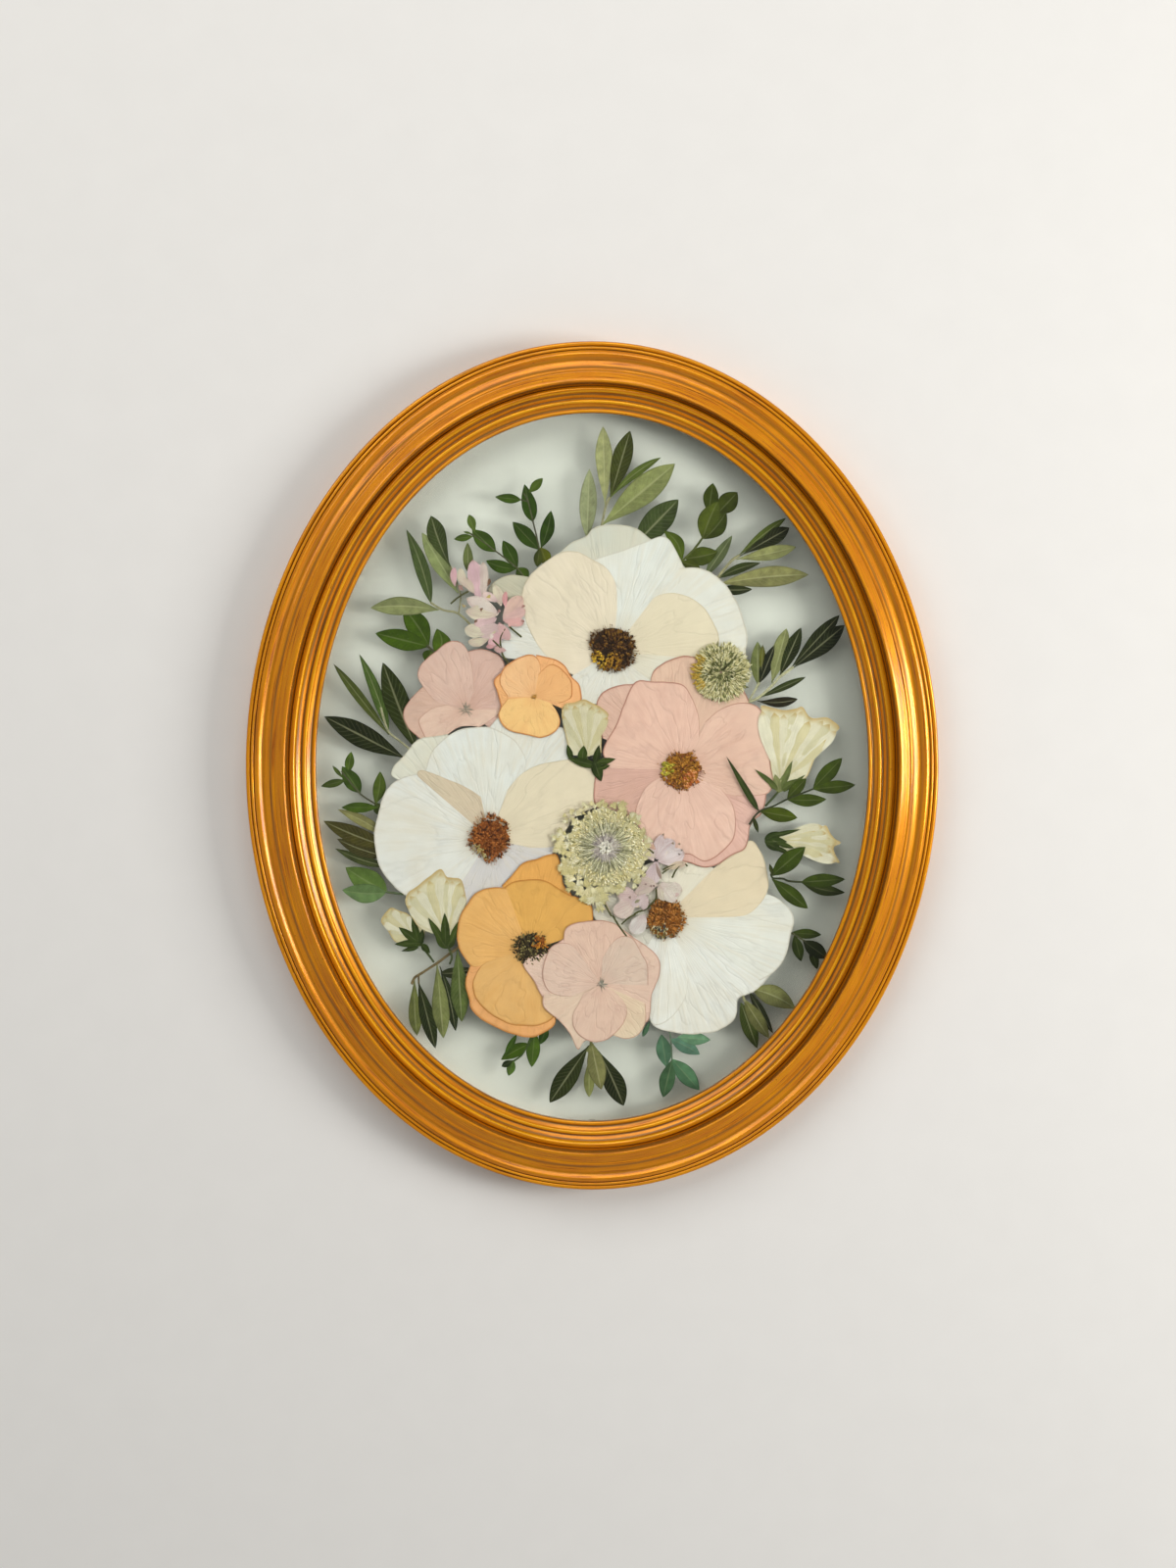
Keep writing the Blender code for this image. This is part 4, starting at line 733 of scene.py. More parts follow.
# Each sprig: its stalks (points, width), and its leaves (base, tip, width, bow, widest at, tint).
OLIVE_STALK = "8E8A68"
MYRTLE_STALK = "4B4A34"
SPRIGS = {
    "olive_sprig_top": ("pressed_olive_leaf", OLIVE_STALK, (
        (((-1, 104), (3.5, 114), (6.3, 127), (8.5, 132)), 1.2),
        (((-1, 104), (-2.5, 113)), 1.0),
        (((-1, 104), (10, 103.5), (20, 108)), 1.2)), (
        ((-2.5, 112.5), (-1.3, 145.6), 8.5, 0, 0.5, "9DA387"),
        ((6.3, 127.5), (5.2, 165.8), 8.2, 0, 0.62, "A9AB83"),
        ((8.5, 131), (18.2, 163.7), 9.5, 0, 0.6, "3F4516"),
        ((8.5, 131.5), (33, 151), 4.2, 1.7, 0.6, "5A6A2B"),
        ((5, 119), (39.8, 148), 13.5, 0, 0.58, "8F9667"),
        ((19, 107.6), (41.5, 131), 13.0, 0, 0.55, "414E2B"))),
    "myrtle_sprig_top": ("pressed_myrtle_leaf", MYRTLE_STALK, (
        (((-25, 100), (-25.4, 107), (-28.6, 121), (-31, 130.5), (-33, 134)), 0.8),
        (((-31, 130), (-35, 131)), 0.7)), (
        ((-25.5, 107), (-38.3, 120.3), 7.5, 0, 0.5, "2F4A0C"),
        ((-24.5, 108), (-19.8, 125.7), 6.5, -0.7, 0.5, "2C4708"),
        ((-28.6, 120.5), (-32.5, 138.3), 7.2, 0, 0.42, "2F4D0B"),
        ((-34.3, 130.8), (-46.7, 132.2), 4.6, 0, 0.45, "3C5A14"),
        ((-30.3, 134.3), (-23.7, 141.2), 4.3, 0, 0.5, "4B6624"),
        ((-24.8, 108), (-21.5, 99.5), 6.6, 0, 0.5, "5B6410"),
        ((-25.4, 107.5), (-26.5, 98.6), 4.5, 0, 0.5, "3E4A12"))),
    "myrtle_sprig_upper_left": ("pressed_myrtle_leaf", MYRTLE_STALK, (
        (((-32, 92), (-36, 98), (-46.4, 106.2), (-57, 113.8), (-61, 115.2)), 0.8),), (
        ((-36.5, 97.8), (-51.2, 101.7), 6.3, 1.0, 0.5, "38550F"),
        ((-36, 98.5), (-43, 111.4), 6.8, 0, 0.5, "375512"),
        ((-36.2, 98.2), (-31, 92.3), 7.0, 0, 0.5, "3A5212"),
        ((-46.5, 106), (-57.8, 116.6), 8.0, 0, 0.48, "3F5D1C"),
        ((-56.4, 115), (-59.2, 123.8), 4.2, 0, 0.6, "5F7A3F"),
        ((-57.4, 113.4), (-66.6, 112), 3.5, 0, 0.5, "4C6828"),
        ((-58, 114.6), (-62, 115.6), 1.2, 0, 0.5, "4C6828"))),
    "olive_sprig_upper_left": ("pressed_olive_leaf", OLIVE_STALK, (
        (((-57.5, 69.5), (-64.5, 76.2), (-72, 78), (-78, 81.6)), 1.1),
        (((-64.5, 76.2), (-63.5, 85), (-66, 93), (-68.2, 99)), 0.8),
        (((-64.5, 88), (-60, 93), (-59.6, 97)), 0.8)), (
        ((-77.8, 81.5), (-89.5, 116.8), 6.8, -1.2, 0.45, "4A5A33"),
        ((-64.6, 86), (-82, 115.2), 8.5, 0, 0.55, "8F9A6F"),
        ((-68, 98), (-77.5, 123.2), 9.0, 0.8, 0.66, "3E4A26"),
        ((-74, 78), (-107, 79), 9.0, -1.4, 0.55, "8D936C"),
        ((-59.6, 96), (-60, 110.4), 5.0, 0, 0.45, "6A7448"))),
    "laurel_sprig_left": ("pressed_laurel_leaf", MYRTLE_STALK, (
        (((-70, 53), (-75.5, 57), (-80, 61)), 1.2),), (
        ((-79, 61), (-91.3, 79.2), 11.0, -0.8, 0.5, "38500C"),
        ((-79, 60.5), (-104.8, 66.8), 10.0, 0, 0.5, "3A530B"),
        ((-75.5, 56), (-75, 69), 9.0, -2.6, 0.5, "41581A"),
        ((-77, 58.8), (-80.5, 52.7), 7.0, 0, 0.5, "36490D"))),
    "olive_sprig_left": ("pressed_olive_leaf", "9A9678", (
        (((-84, 6.5), (-92, 13.5), (-98.5, 18.8), (-101, 25), (-102.5, 31)), 1.0),), (
        ((-98.8, 19.5), (-112.7, 56.8), 5.8, -1.0, 0.45, "4A6129"),
        ((-98.6, 17.6), (-125.2, 52), 5.0, 0, 0.55, "4C5622"),
        ((-85, 10), (-101.3, 52.7), 12.2, 0.5, 0.55, "2A3408"),
        ((-91.5, 6.5), (-129.8, 26.5), 11.5, 0, 0.55, "1F2606"))),
    "myrtle_sprig_left": ("pressed_myrtle_leaf", MYRTLE_STALK, (
        (((-100, -20), (-106, -15.8), (-113, -11), (-119.5, -3), (-122, 0)), 0.8),), (
        ((-118.8, -1), (-117, 9.4), 4.6, 0, 0.5, "4F6B2A"),
        ((-112.8, -10.6), (-121.6, 2.2), 8.0, 0, 0.45, "3F5C22"),
        ((-120, -4.6), (-131.9, -7.5), 4.0, 0, 0.5, "45592A"),
        ((-121.3, -3.3), (-126.2, 2.6), 2.0, 0, 0.5, "4A6030"),
        ((-105.4, -16), (-103, -0.2), 6.3, -0.8, 0.5, "4E6429"),
        ((-105.3, -15.4), (-102.2, -22), 5.2, 0, 0.5, "3A4A1F"),
        ((-104.5, -17.8), (-122, -17.8), 5.2, 0, 0.5, "43601A"))),
    "olive_sprig_low_left": ("pressed_olive_leaf", OLIVE_STALK, (
        (((-90, -28), (-98.5, -34), (-98, -41), (-97, -47.5)), 1.4),), (
        ((-99.5, -32), (-123.8, -18.8), 5.4, -0.8, 0.5, "8E8A60"),
        ((-98.5, -46.8), (-125.3, -37.9), 4.8, 1.2, 0.5, "3F4826"),
        ((-99, -42), (-124.3, -33.2), 7.0, 1.0, 0.5, "423E1E"),
        ((-98.5, -37.3), (-130.8, -24.4), 9.0, 0.9, 0.5, "4A451C"))),
    "gum_sprig_left": ("pressed_gum_leaf", "4D5A3C", (
        (((-92, -60.4), (-101, -59.2)), 1.1),), (
        ((-100.3, -59.2), (-120.3, -47.2), 12.5, 0.5, 0.42, "546B30"),
        ((-100.8, -59.6), (-122, -58.3), 9.6, 1.0, 0.45, "5C7448"))),
    "olive_sprig_lower_left": ("pressed_olive_leaf", "6A5A3A", (
        (((-63, -85), (-70, -90), (-76, -94.5), (-84, -99.7), (-87, -101.7), (-88.5, -105)), 1.3),
        (((-85, -100), (-85, -104.5)), 0.9)), (
        ((-87, -101.5), (-86, -130.4), 6.6, -0.6, 0.65, "6E7444"),
        ((-85, -104.3), (-77, -136.9), 7.5, 0, 0.55, "232D0C"),
        ((-74.6, -96), (-67, -128.3), 6.0, 0.9, 0.6, "1F2A10"),
        ((-76, -95), (-73, -131.8), 8.5, 0, 0.6, "7F8558"),
        ((-74, -99.5), (-58.5, -97), 5.5, -0.8, 0.4, "23290F"),
        ((-66, -87), (-64, -123.6), 9.0, 0, 0.6, "5F6E3E"))),
    "myrtle_sprig_bottom": ("pressed_myrtle_leaf", "3A4A20", (
        (((-22, -122), (-28, -130), (-32, -136), (-34.5, -140), (-38.3, -143)), 0.9),), (
        ((-31, -134.5), (-44.8, -142.5), 6.4, -0.4, 0.45, "3F5D08"),
        ((-43, -140.8), (-37, -129.7), 3.2, 0, 0.5, "3A5A17"),
        ((-28.2, -128.2), (-29.7, -146.2), 7.0, 0, 0.5, "4A6A25"),
        ((-22, -125.5), (-25.5, -134.8), 4.6, 0, 0.5, "2A4A15"),
        ((-38.6, -142.6), (-41.1, -150.5), 4.3, 0, 0.5, "4F7038"),
        ((-38.4, -142.7), (-44.5, -145.8), 3.3, 0, 0.6, "1E2E12"))),
    "olive_sprig_bottom": ("pressed_olive_leaf", "6E7040", (
        (((-1, -126), (-0.5, -134.5), (-2.5, -138.5)), 1.3),
        (((-0.5, -134.5), (4.5, -140.5)), 1.0)), (
        ((-1.6, -135.4), (-20.9, -164), 10.4, 0, 0.6, "2B330F"),
        ((-1.5, -142), (-1.5, -161.3), 5.2, 0, 0.6, "868958"),
        ((3.2, -138), (15.6, -165.5), 10.4, 0.4, 0.62, "20270A"),
        ((-0.6, -133), (4.5, -157.4), 9.0, 0, 0.55, "85835A"))),
    "gum_sprig_bottom": ("pressed_gum_leaf", "5A6A55", (
        (((29, -121), (36, -124), (38.5, -131), (39.3, -143)), 0.8),), (
        ((36.6, -146), (34, -129.8), 7.6, 0, 0.5, "456650"),
        ((38.5, -132.2), (53, -139.8), 7.0, 0.4, 0.5, "4E7060"),
        ((42, -131.2), (58.2, -132.6), 6.5, 0, 0.5, "5F8468"),
        ((39.4, -142.2), (35, -161.3), 7.8, 0, 0.55, "39563A"),
        ((39.4, -142.2), (52.8, -157.6), 8.5, 0, 0.5, "4A6F52"),
        ((28.5, -123), (24.8, -131), 2.6, 0, 0.6, "3E6148"))),
    "olive_sprig_lower_right": ("pressed_olive_leaf", OLIVE_STALK, (
        (((66, -100), (72, -106.8), (75, -113.5)), 1.3),
        (((72, -106.8), (79.5, -106.8)), 1.1)), (
        ((77, -108.5), (88.9, -129.4), 4.6, 0, 0.5, "1C2204"),
        ((79, -107.5), (99.8, -117), 10.2, 1.4, 0.45, "7F8056"),
        ((73, -114), (81.2, -136.8), 7.6, 0, 0.5, "3A4610"),
        ((74.5, -112.5), (87, -131.8), 7.2, 0, 0.5, "74744A"))),
    "myrtle_sprig_lower_right": ("pressed_myrtle_leaf", MYRTLE_STALK, (
        (((89, -74), (97.5, -79.5), (104, -83.5), (108, -87)), 0.9),), (
        ((97.6, -79.5), (112.2, -80.4), 5.0, 0, 0.5, "35460C"),
        ((99, -80.8), (102.4, -93.6), 5.5, 0, 0.5, "2B3B08"),
        ((107, -86.5), (110.4, -97.6), 4.4, 0, 0.5, "2A380A"),
        ((103.3, -83.4), (115.3, -92), 7.6, 0, 0.5, "1C2608"))),
    "olive_sprig_right": ("pressed_olive_leaf", "A8A684", (
        (((72, 32.5), (80, 35.2), (86, 40.3), (91, 45.8), (97.5, 50.6)), 1.4),
        (((76, 34), (78.5, 38.5), (81, 43)), 1.1)), (
        ((80.3, 42), (80, 62.8), 7.0, 0, 0.5, "6F764C"),
        ((82, 46), (82.5, 61.3), 3.4, 0, 0.55, "5D5E20"),
        ((81.2, 43), (88.5, 61.4), 6.0, 0, 0.5, "14190A"),
        ((87, 42.8), (94, 69.2), 8.2, 0, 0.58, "8B8F66"),
        ((91, 46.5), (101, 69.6), 7.2, 0, 0.55, "222B08"),
        ((96, 49.8), (119.5, 75.6), 7.2, 0, 0.6, "22290A"),
        ((97.3, 50), (122, 70.7), 9.5, 0, 0.6, "1A2105"),
        ((80.2, 35.3), (103.5, 45.7), 3.7, 0, 0.6, "2F3A12"),
        ((80, 34), (99.7, 35), 5.0, -1.2, 0.6, "1E1804"))),
    "olive_sprig_upper_right": ("pressed_olive_leaf", OLIVE_STALK, (
        (((57, 88), (60.5, 93.5), (67, 101.5), (71, 104.3)), 1.3),
        (((57, 88), (54.5, 94.5)), 1.0)), (
        ((61, 93.3), (81.2, 100.6), 4.5, 1.0, 0.5, "2E3A0C"),
        ((60, 88), (77.3, 88), 5.0, -0.4, 0.5, "222B06"),
        ((70, 103.6), (93.3, 122.2), 4.5, 0.5, 0.6, "4F5C20"),
        ((70, 103.3), (95, 117.5), 7.6, 0, 0.7, "1F2408"),
        ((69.5, 102.4), (98.3, 108.3), 6.8, -0.5, 0.6, "97996C"),
        ((61, 90.5), (104.4, 95), 10.0, 1.0, 0.58, "8F8D63"),
        ((54.3, 94), (67.5, 113.8), 5.8, 0, 0.5, "5A6547"))),
    "boxwood_sprig_upper_right": ("pressed_myrtle_leaf", "4A5222", (
        (((41, 97), (43.5, 101.5), (49, 107), (53.4, 113)), 1.1),), (
        ((56, 125), (58, 138.8), 7.5, 0, 0.5, "3A4A0B"),
        ((59.6, 123.5), (69.8, 134.4), 9.5, 0, 0.55, "3B480D"),
        ((53.8, 112.1), (64.5, 125), 9.0, -0.8, 0.5, "3C4B14"),
        ((53.2, 112.2), (60.4, 130), 10.5, 0.5, 0.48, "4F5F22"),
        ((44.8, 102.8), (60.5, 106), 9.0, -0.6, 0.5, "46561A"),
        ((43.2, 101.8), (34.5, 116), 6.4, -2.4, 0.5, "4E6420"),
        ((43, 101), (52, 98.3), 5.0, 0, 0.5, "414D12"))),
    "myrtle_sprig_right": ("pressed_myrtle_leaf", "2F341C", (
        (((76.3, -26), (81, -19.8), (88, -17), (95, -13.5), (107.6, -8.5)), 0.9),), (
        ((107.4, -8.2), (121.3, 6.5), 7.5, 0, 0.5, "3A4D0C"),
        ((107.5, -8.7), (127.8, -6.6), 6.5, 0, 0.5, "3B4E0B"),
        ((94.8, -13), (103.9, -3.4), 5.8, 0, 0.5, "435518"),
        ((95, -13.9), (113.8, -13.6), 6.2, -0.4, 0.5, "3E5210"),
        ((82, -19.6), (99.8, -22.7), 7.3, 0, 0.5, "46580B"),
        ((78.2, -22), (80.8, -30), 2.2, 0, 0.5, "2F3A10"))),
    "myrtle_sprig_low_right": ("pressed_myrtle_leaf", "2F341C", (
        (((87, -50), (88.2, -52.2), (93, -52.5), (96, -53.7), (102.4, -54.1)), 1.0),), (
        ((87.5, -51), (103.8, -36.9), 9.0, 0, 0.5, "3A4F0B"),
        ((87.6, -52.6), (105.3, -67.2), 7.5, 0, 0.55, "3A4E0C"),
        ((102.4, -54.5), (123.3, -59.3), 5.6, -1.0, 0.5, "27330A"),
        ((101.8, -54.2), (123.3, -52.7), 7.0, 0, 0.45, "35480A"),
        ((88.2, -51), (86.4, -45.2), 2.0, 0, 0.5, "2F3A10"))),
    "slender_leaf_right": ("pressed_myrtle_leaf", "2F341C", (
        (((80.8, -19), (80.2, -17.8)), 0.8),), (
        ((80.6, -18.9), (65, 7.4), 3.2, 0, 0.3, "33451A"),)),
}

# Hearts of the blooms without stamens: radius and tints.
HEARTS = {
    "pink_bloom_small": (3.8, ("A89A8C", "9A9284", "B8A494")),
    "peach_bloom": (1.6, ("B08A4A", "A87A3A")),
    "blush_bloom": (3.4, ("A39A8E", "8E8A7C", "B4A094")),
}

# Tufts of stamens: middle, radii, tints, patches of other tints (spot, radius, tints), thread tint,
# how many grains, and how high they stand.
STAMENS = {
    "stamens_white_top": (
        (10, 59.5), (11.2, 11.6), ("2A1808", "3E240C", "5A3A12", "4A2C0E", "7A5418"), (
            ((3.5, 53.2), 5.0, ("C9A23A", "DDB430", "8A6A14", "A87E1E")),
            ((10, 53), 4.0, ("8A5E14", "A87A20", "6A4410"))), "6A4A20", 420, 1.0),
    "stamens_white_left": (
        (-49.5, -32.5), (9.8, 10.6), ("8A4A1A", "4A2408", "7A4216", "A8622A", "9A5A22"), (
            ((-56, -40), 5.0, ("8A7A4A", "A89058", "5A4A20", "B8A878")),), "A07848", 340, 1.0),
    "stamens_white_right": (
        (35.5, -72.2), (9.8, 9.8), ("8A5010", "5A3208", "A4682C", "6E4412", "B07430"), (
            ((33, -80.5), 6.0, ("A89868", "6A5A30", "C9BE9A", "3A3634", "8A8060")),), "A08450", 340, 0.55),
    "stamens_pink": (
        (43.5, 0.4), (9.4, 9.6), ("A8701C", "6E4412", "B07A2C", "7A3E14", "8E5A1A"), (
            ((36, 1.5), 4.2, ("A89A2E", "8A8420", "B8A83C")),
            ((49, -4), 5.0, ("C0763A", "D0905A", "A85A28"))), "8A5A4A", 330, 0.9),
    "stamens_apricot": (
        (-29.5, -86.8), (9.6, 7.6), ("2E2410", "4E4220", "6E6238", "8A7E4C", "3A2E14"), (
            ((-25, -84), 4.4, ("C98A2A", "A8641A", "8A4A10")),), "3A3A1E", 200, 0.25),
}

# Larkspur: petals (base, tip, width, tint), back to front, and stalks.
LARKSPURS = {
    "larkspur_left": ((
        ((-48, 63.5), (-44.6, 60), (-43, 56), (-40.6, 52.6)),
        ((-42, 69), (-44.4, 64), (-43.5, 58)),
        ((-40, 70), (-34, 65)),
        ((-59.5, 87), (-64, 84.5), (-68.2, 81)),
    ), (
        ((-54, 82), (-57.5, 102), 8.0, "D9B3BD"), ((-52.5, 83), (-52.4, 101), 5.5, "CDBEB4"),
        ((-66, 89.5), (-66.3, 98.5), 3.2, "D8A8B2"), ((-60.5, 88.5), (-63.5, 98), 4.4, "D6CDB4"),
        ((-57, 86), (-62, 93), 4.0, "CDC4A8"), ((-45, 76), (-60.5, 83.5), 7.0, "DCD2C8"),
        ((-45, 76), (-61, 77.5), 6.5, "D6CDB4"), ((-46, 74), (-57, 71), 7.0, "D3B4B6"),
        ((-44, 70), (-55, 66.5), 8.0, "CDB4B2"), ((-52, 66), (-61.5, 69), 6.5, "D3CDB4"),
        ((-50, 64), (-60, 62.6), 4.5, "CFC7AC"), ((-43, 68), (-50, 61), 5.5, "D6A8AE"),
        ((-44, 80), (-47, 90), 4.8, "D6CDB4"), ((-45, 82), (-53, 86), 4.0, "D9C0BC"),
        ((-41.6, 79), (-41.5, 87), 2.6, "D98F92"), ((-43, 74), (-33.6, 84.5), 7.5, "E0BBAA"),
        ((-43, 74), (-32, 78), 6.5, "E3B9B0"), ((-43, 73), (-33, 71.5), 5.5, "DFA8A4"),
        ((-45, 72), (-40, 63.5), 5.0, "D3A9A8"), ((-47, 60.5), (-51.2, 60.3), 2.2, "C98A90"),
        ((-41.5, 58.5), (-47.2, 59.6), 3.4, "CDA4A0"), ((-62, 87.4), (-64.2, 90), 2.0, "7A5230"),
        ((-50.4, 89.5), (-49.4, 93.2), 1.5, "6E4A2A"), ((-55.2, 73.4), (-56.8, 72), 1.3, "6E4A2A"),
        ((-53.4, 77.2), (-52.6, 79), 1.2, "7A5230"), ((-45.8, 76.6), (-45.2, 78.6), 1.3, "6A3A26"),
        ((-34, 79), (-32.3, 80.2), 1.3, "8A4A34"), ((-34.4, 72.6), (-32.6, 72.2), 1.2, "8A4A34"),
        ((-60.4, 80.3), (-62.8, 80.8), 1.4, "B5A948"), ((-51, 84), (-49, 85.2), 1.4, "B5A948"),
    )),
    "larkspur_right": ((
        ((31.3, -57.5), (31.2, -62), (28.5, -65.2), (26.4, -67.5), (23, -68.6), (20.4, -70)),
        ((34, -50), (38, -47.2), (44, -44.6), (46.4, -46.4)),
        ((44, -45), (41, -48), (39, -52)),
        ((20, -34), (25, -36), (30, -40)),
        ((10, -70.5), (13, -75.5), (16.9, -80.9)),
        ((21.2, -70), (17.5, -72), (14.3, -75)),
        ((4.2, -61), (6.5, -65.5), (9.5, -71)),
        ((43, -44.8), (38, -46.4), (34.3, -48.2)),
    ), (
        ((26, -70), (19.4, -79.6), 8.0, "D0CCC8"), ((21, -64), (10.6, -69.8), 9.0, "D6C8BC"),
        ((22, -61), (12.6, -61), 8.0, "D6C4BE"), ((6, -62), (9.4, -70.2), 1.6, "CFC49A"),
        ((31, -43), (40, -33.5), 8.0, "D3C6C8"), ((32, -44), (45, -39.5), 8.5, "D6CACB"),
        ((31, -42), (34.2, -30.8), 4.4, "CDBFC0"), ((30, -44), (23.5, -34.5), 6.0, "CFC0B8"),
        ((31, -38), (24, -33), 4.4, "C89A78"), ((31, -42), (21.8, -40.5), 4.6, "D6CDB9"),
        ((31, -44), (26.5, -54.5), 5.2, "CDBDC2"), ((32, -44), (31, -55), 4.4, "D6C8CC"),
        ((34, -56), (44, -58.5), 7.0, "D6CCC0"), ((34, -54), (40.5, -64), 7.0, "DAD0C6"),
        ((33, -55), (35, -63.5), 4.0, "CFC4B2"), ((32, -56), (21.5, -53.5), 5.5, "CFC4B2"),
        ((31, -56), (20.8, -59.5), 5.5, "C9BDAE"), ((26, -60), (19, -66), 5.0, "CDBDBF"),
        ((27, -61), (25, -68), 3.6, "C6B4B4"), ((36, -48), (46, -44.8), 3.6, "CDBE9A"),
        ((31.2, -45), (33.7, -52.6), 1.7, "6E5E40"), ((23.4, -62.6), (20.8, -64.4), 1.8, "6A7A3A"),
        ((38.4, -35.4), (39.7, -35.9), 1.1, "7A7440"), ((41.7, -35.4), (42.9, -35.9), 1.0, "7A7440"),
        ((34, -30.8), (35, -31.3), 1.0, "7A7440"), ((43.3, -37.8), (44.3, -38.3), 1.0, "6A6660"),
        ((42, -40), (43, -40.5), 0.9, "6A6660"), ((25.5, -55), (26.5, -55.5), 1.0, "5A4228"),
        ((27.8, -56.3), (28.9, -56.8), 1.0, "5A4228"), ((29.5, -55.8), (30.5, -56.3), 0.9, "5A4228"),
        ((17.6, -61.8), (18.8, -62.3), 1.1, "5A5228"),
    )),
}

# Tints of a bell flower's pleats, in turn.
PLEAT_TINTS = ("DAD4BC", "CFC8A8", "E0DBC6", "D3C9A2")

# Bell flowers: corolla (base, rim), its tint, calyx petals (base, tip, width, tint), and stalk.
BELLS = {
    "bell_flower_middle": ((-2.5, 7), (
        (-11, 8), (-12, 13), (-13, 18), (-14.8, 28), (-13.2, 32.6), (-9, 33.4), (-4, 35), (0, 33),
        (4, 31), (8, 27.4), (5.2, 23.6), (4.6, 17), (4.5, 9),
    ), "D3CCB0", (
        ((-10, 5.5), (-12, 13), 3.0, "34491A"), ((-5, 4), (-4, 12.5), 5.0, "3A5020"),
        ((1.5, 3), (3.4, 12.8), 3.6, "2C3E14"), ((2, 2.5), (-11.6, 6.2), 4.4, "34491A"),
        ((2, 4), (11.4, 6), 3.2, "3E5222"), ((1, 5), (4.4, -5), 5.6, "2F4218"),
        ((3, 1), (8.8, 3), 2.4, "34491A"),
    ), ()),
    "bell_flower_right": ((91.5, -5), (
        (88, -4), (86.5, 5), (87, 15), (85, 23), (81.7, 31.4), (88, 30.6), (93, 29.6), (99, 30.6),
        (102, 31.2), (106, 26), (113, 26.2), (116.6, 24.6), (119.9, 21), (115, 17), (110, 11), (107, 4),
        (104, -3), (98, -5.5),
    ), "D6CFB4", (
        ((91, -10.5), (88.8, -1.4), 4.4, "8A957C"), ((92, -10), (93.4, -1), 4.4, "7F8C72"),
        ((90, -8), (79.2, 0.8), 2.6, "4A5E34"), ((90, -9), (84.8, -4.2), 2.6, "5A6B44"),
        ((92, -8), (97.2, 5.2), 3.0, "6A7A58"), ((92, -9), (99.8, -3.8), 3.6, "5A6B44"),
        ((93, -10), (103.6, -1.6), 2.2, "54663C"),
    ), ((90.5, -10), (87, -14), (84.2, -17))),
    "bell_flower_low_right": ((88, -34), (
        (91, -31), (98, -28.6), (103, -28.3), (110, -29), (113.6, -26.5), (115.5, -30), (118, -33),
        (121.2, -35), (118, -37), (118.2, -40), (120.7, -45), (114, -42), (108, -40.5), (97, -39.5),
        (91, -38),
    ), "D0C9AC", (
        ((84, -33.5), (93, -30), 4.6, "2C3E18"), ((84, -34.5), (95, -34.5), 5.4, "34481E"),
        ((84.5, -35), (93, -39), 4.0, "2A3A16"), ((86, -32), (101.5, -28.4), 2.4, "34481E"),
        ((90, -35), (98.4, -37.6), 2.6, "3E5222"), ((89, -37), (96.6, -40.6), 2.4, "2C3E18"),
    ), ()),
    "bell_flower_left": ((-71, -82), (
        (-77, -80), (-82, -78), (-86, -75), (-91, -65), (-90, -60), (-86, -57), (-80, -52), (-74, -47.8),
        (-71, -51.5), (-68, -52), (-64, -53), (-62, -59), (-61.6, -65), (-64, -72), (-66.4, -80),
    ), "D3CCB0", (
        ((-71, -87), (-76.5, -79), 5.0, "3A4E22"), ((-71, -87), (-67, -79), 5.0, "34461E"),
        ((-73, -84), (-80, -71.8), 3.6, "44582A"), ((-71.5, -85), (-72, -69.4), 4.4, "3A4E22"),
        ((-69, -84), (-64.4, -72.8), 3.6, "44582A"),
    ), ((-70.5, -86), (-68.6, -91), (-69.8, -94.8))),
    "bell_flower_low_left": ((-87, -81), (
        (-88, -85), (-96, -84), (-100, -78.4), (-103.2, -74), (-102, -70.6), (-98.4, -67), (-94, -68.5),
        (-90, -70), (-85, -74), (-82, -77), (-82, -80),
    ), "CFC6A0", (
        ((-84, -86), (-87, -79.5), 6.0, "2E4018"), ((-85, -84), (-94.6, -76.6), 4.2, "3A4E22"),
        ((-85, -83), (-88, -72), 3.6, "34481C"), ((-84, -84), (-82.8, -77.6), 3.0, "2C3E16"),
        ((-84, -84.5), (-96.7, -85), 3.8, "3A4E22"), ((-85, -86.5), (-93.4, -88.4), 2.4, "2E4018"),
        ((-83.5, -85), (-79.2, -89.4), 3.4, "34481C"),
    ), ((-82.6, -87), (-79.5, -91), (-77.4, -94))),
}


# Looks of petals: how many veins, vein colour and share, the colour and share of the rim's painted shade,
# where that shade starts, share of the throat's stain, and how mottled.
PETAL_LOOKS = {
    "white": (34, "D3C6AE", 0.24, "A89A80", 0.5, 0.982, 0.5, 0.05),
    "pink": (34, "C49A88", 0.2, "98604F", 0.9, 0.976, 0.3, 0.06),
    "blush": (26, "CCA594", 0.18, "A2705F", 0.85, 0.974, 0.3, 0.06),
    "peach": (20, "DCA068", 0.22, "B4682C", 0.9, 0.945, 0.35, 0.06),
    "apricot": (30, "D49C50", 0.22, "AC6A24", 0.85, 0.962, 0.4, 0.06),
}

# Looks of leaves: share of the midrib, roughness, and the colour that age multiplies in.
LEAF_LOOKS = {
    "pressed_olive_leaf": (0.5, 0.6, "DCDCC6"),
    "pressed_myrtle_leaf": (0.18, 0.5, "DCD2A4"),
    "pressed_laurel_leaf": (0.2, 0.5, "F5F0A0"),
    "pressed_gum_leaf": (0.22, 0.6, "FFFFF8"),
}


# Making the pieces


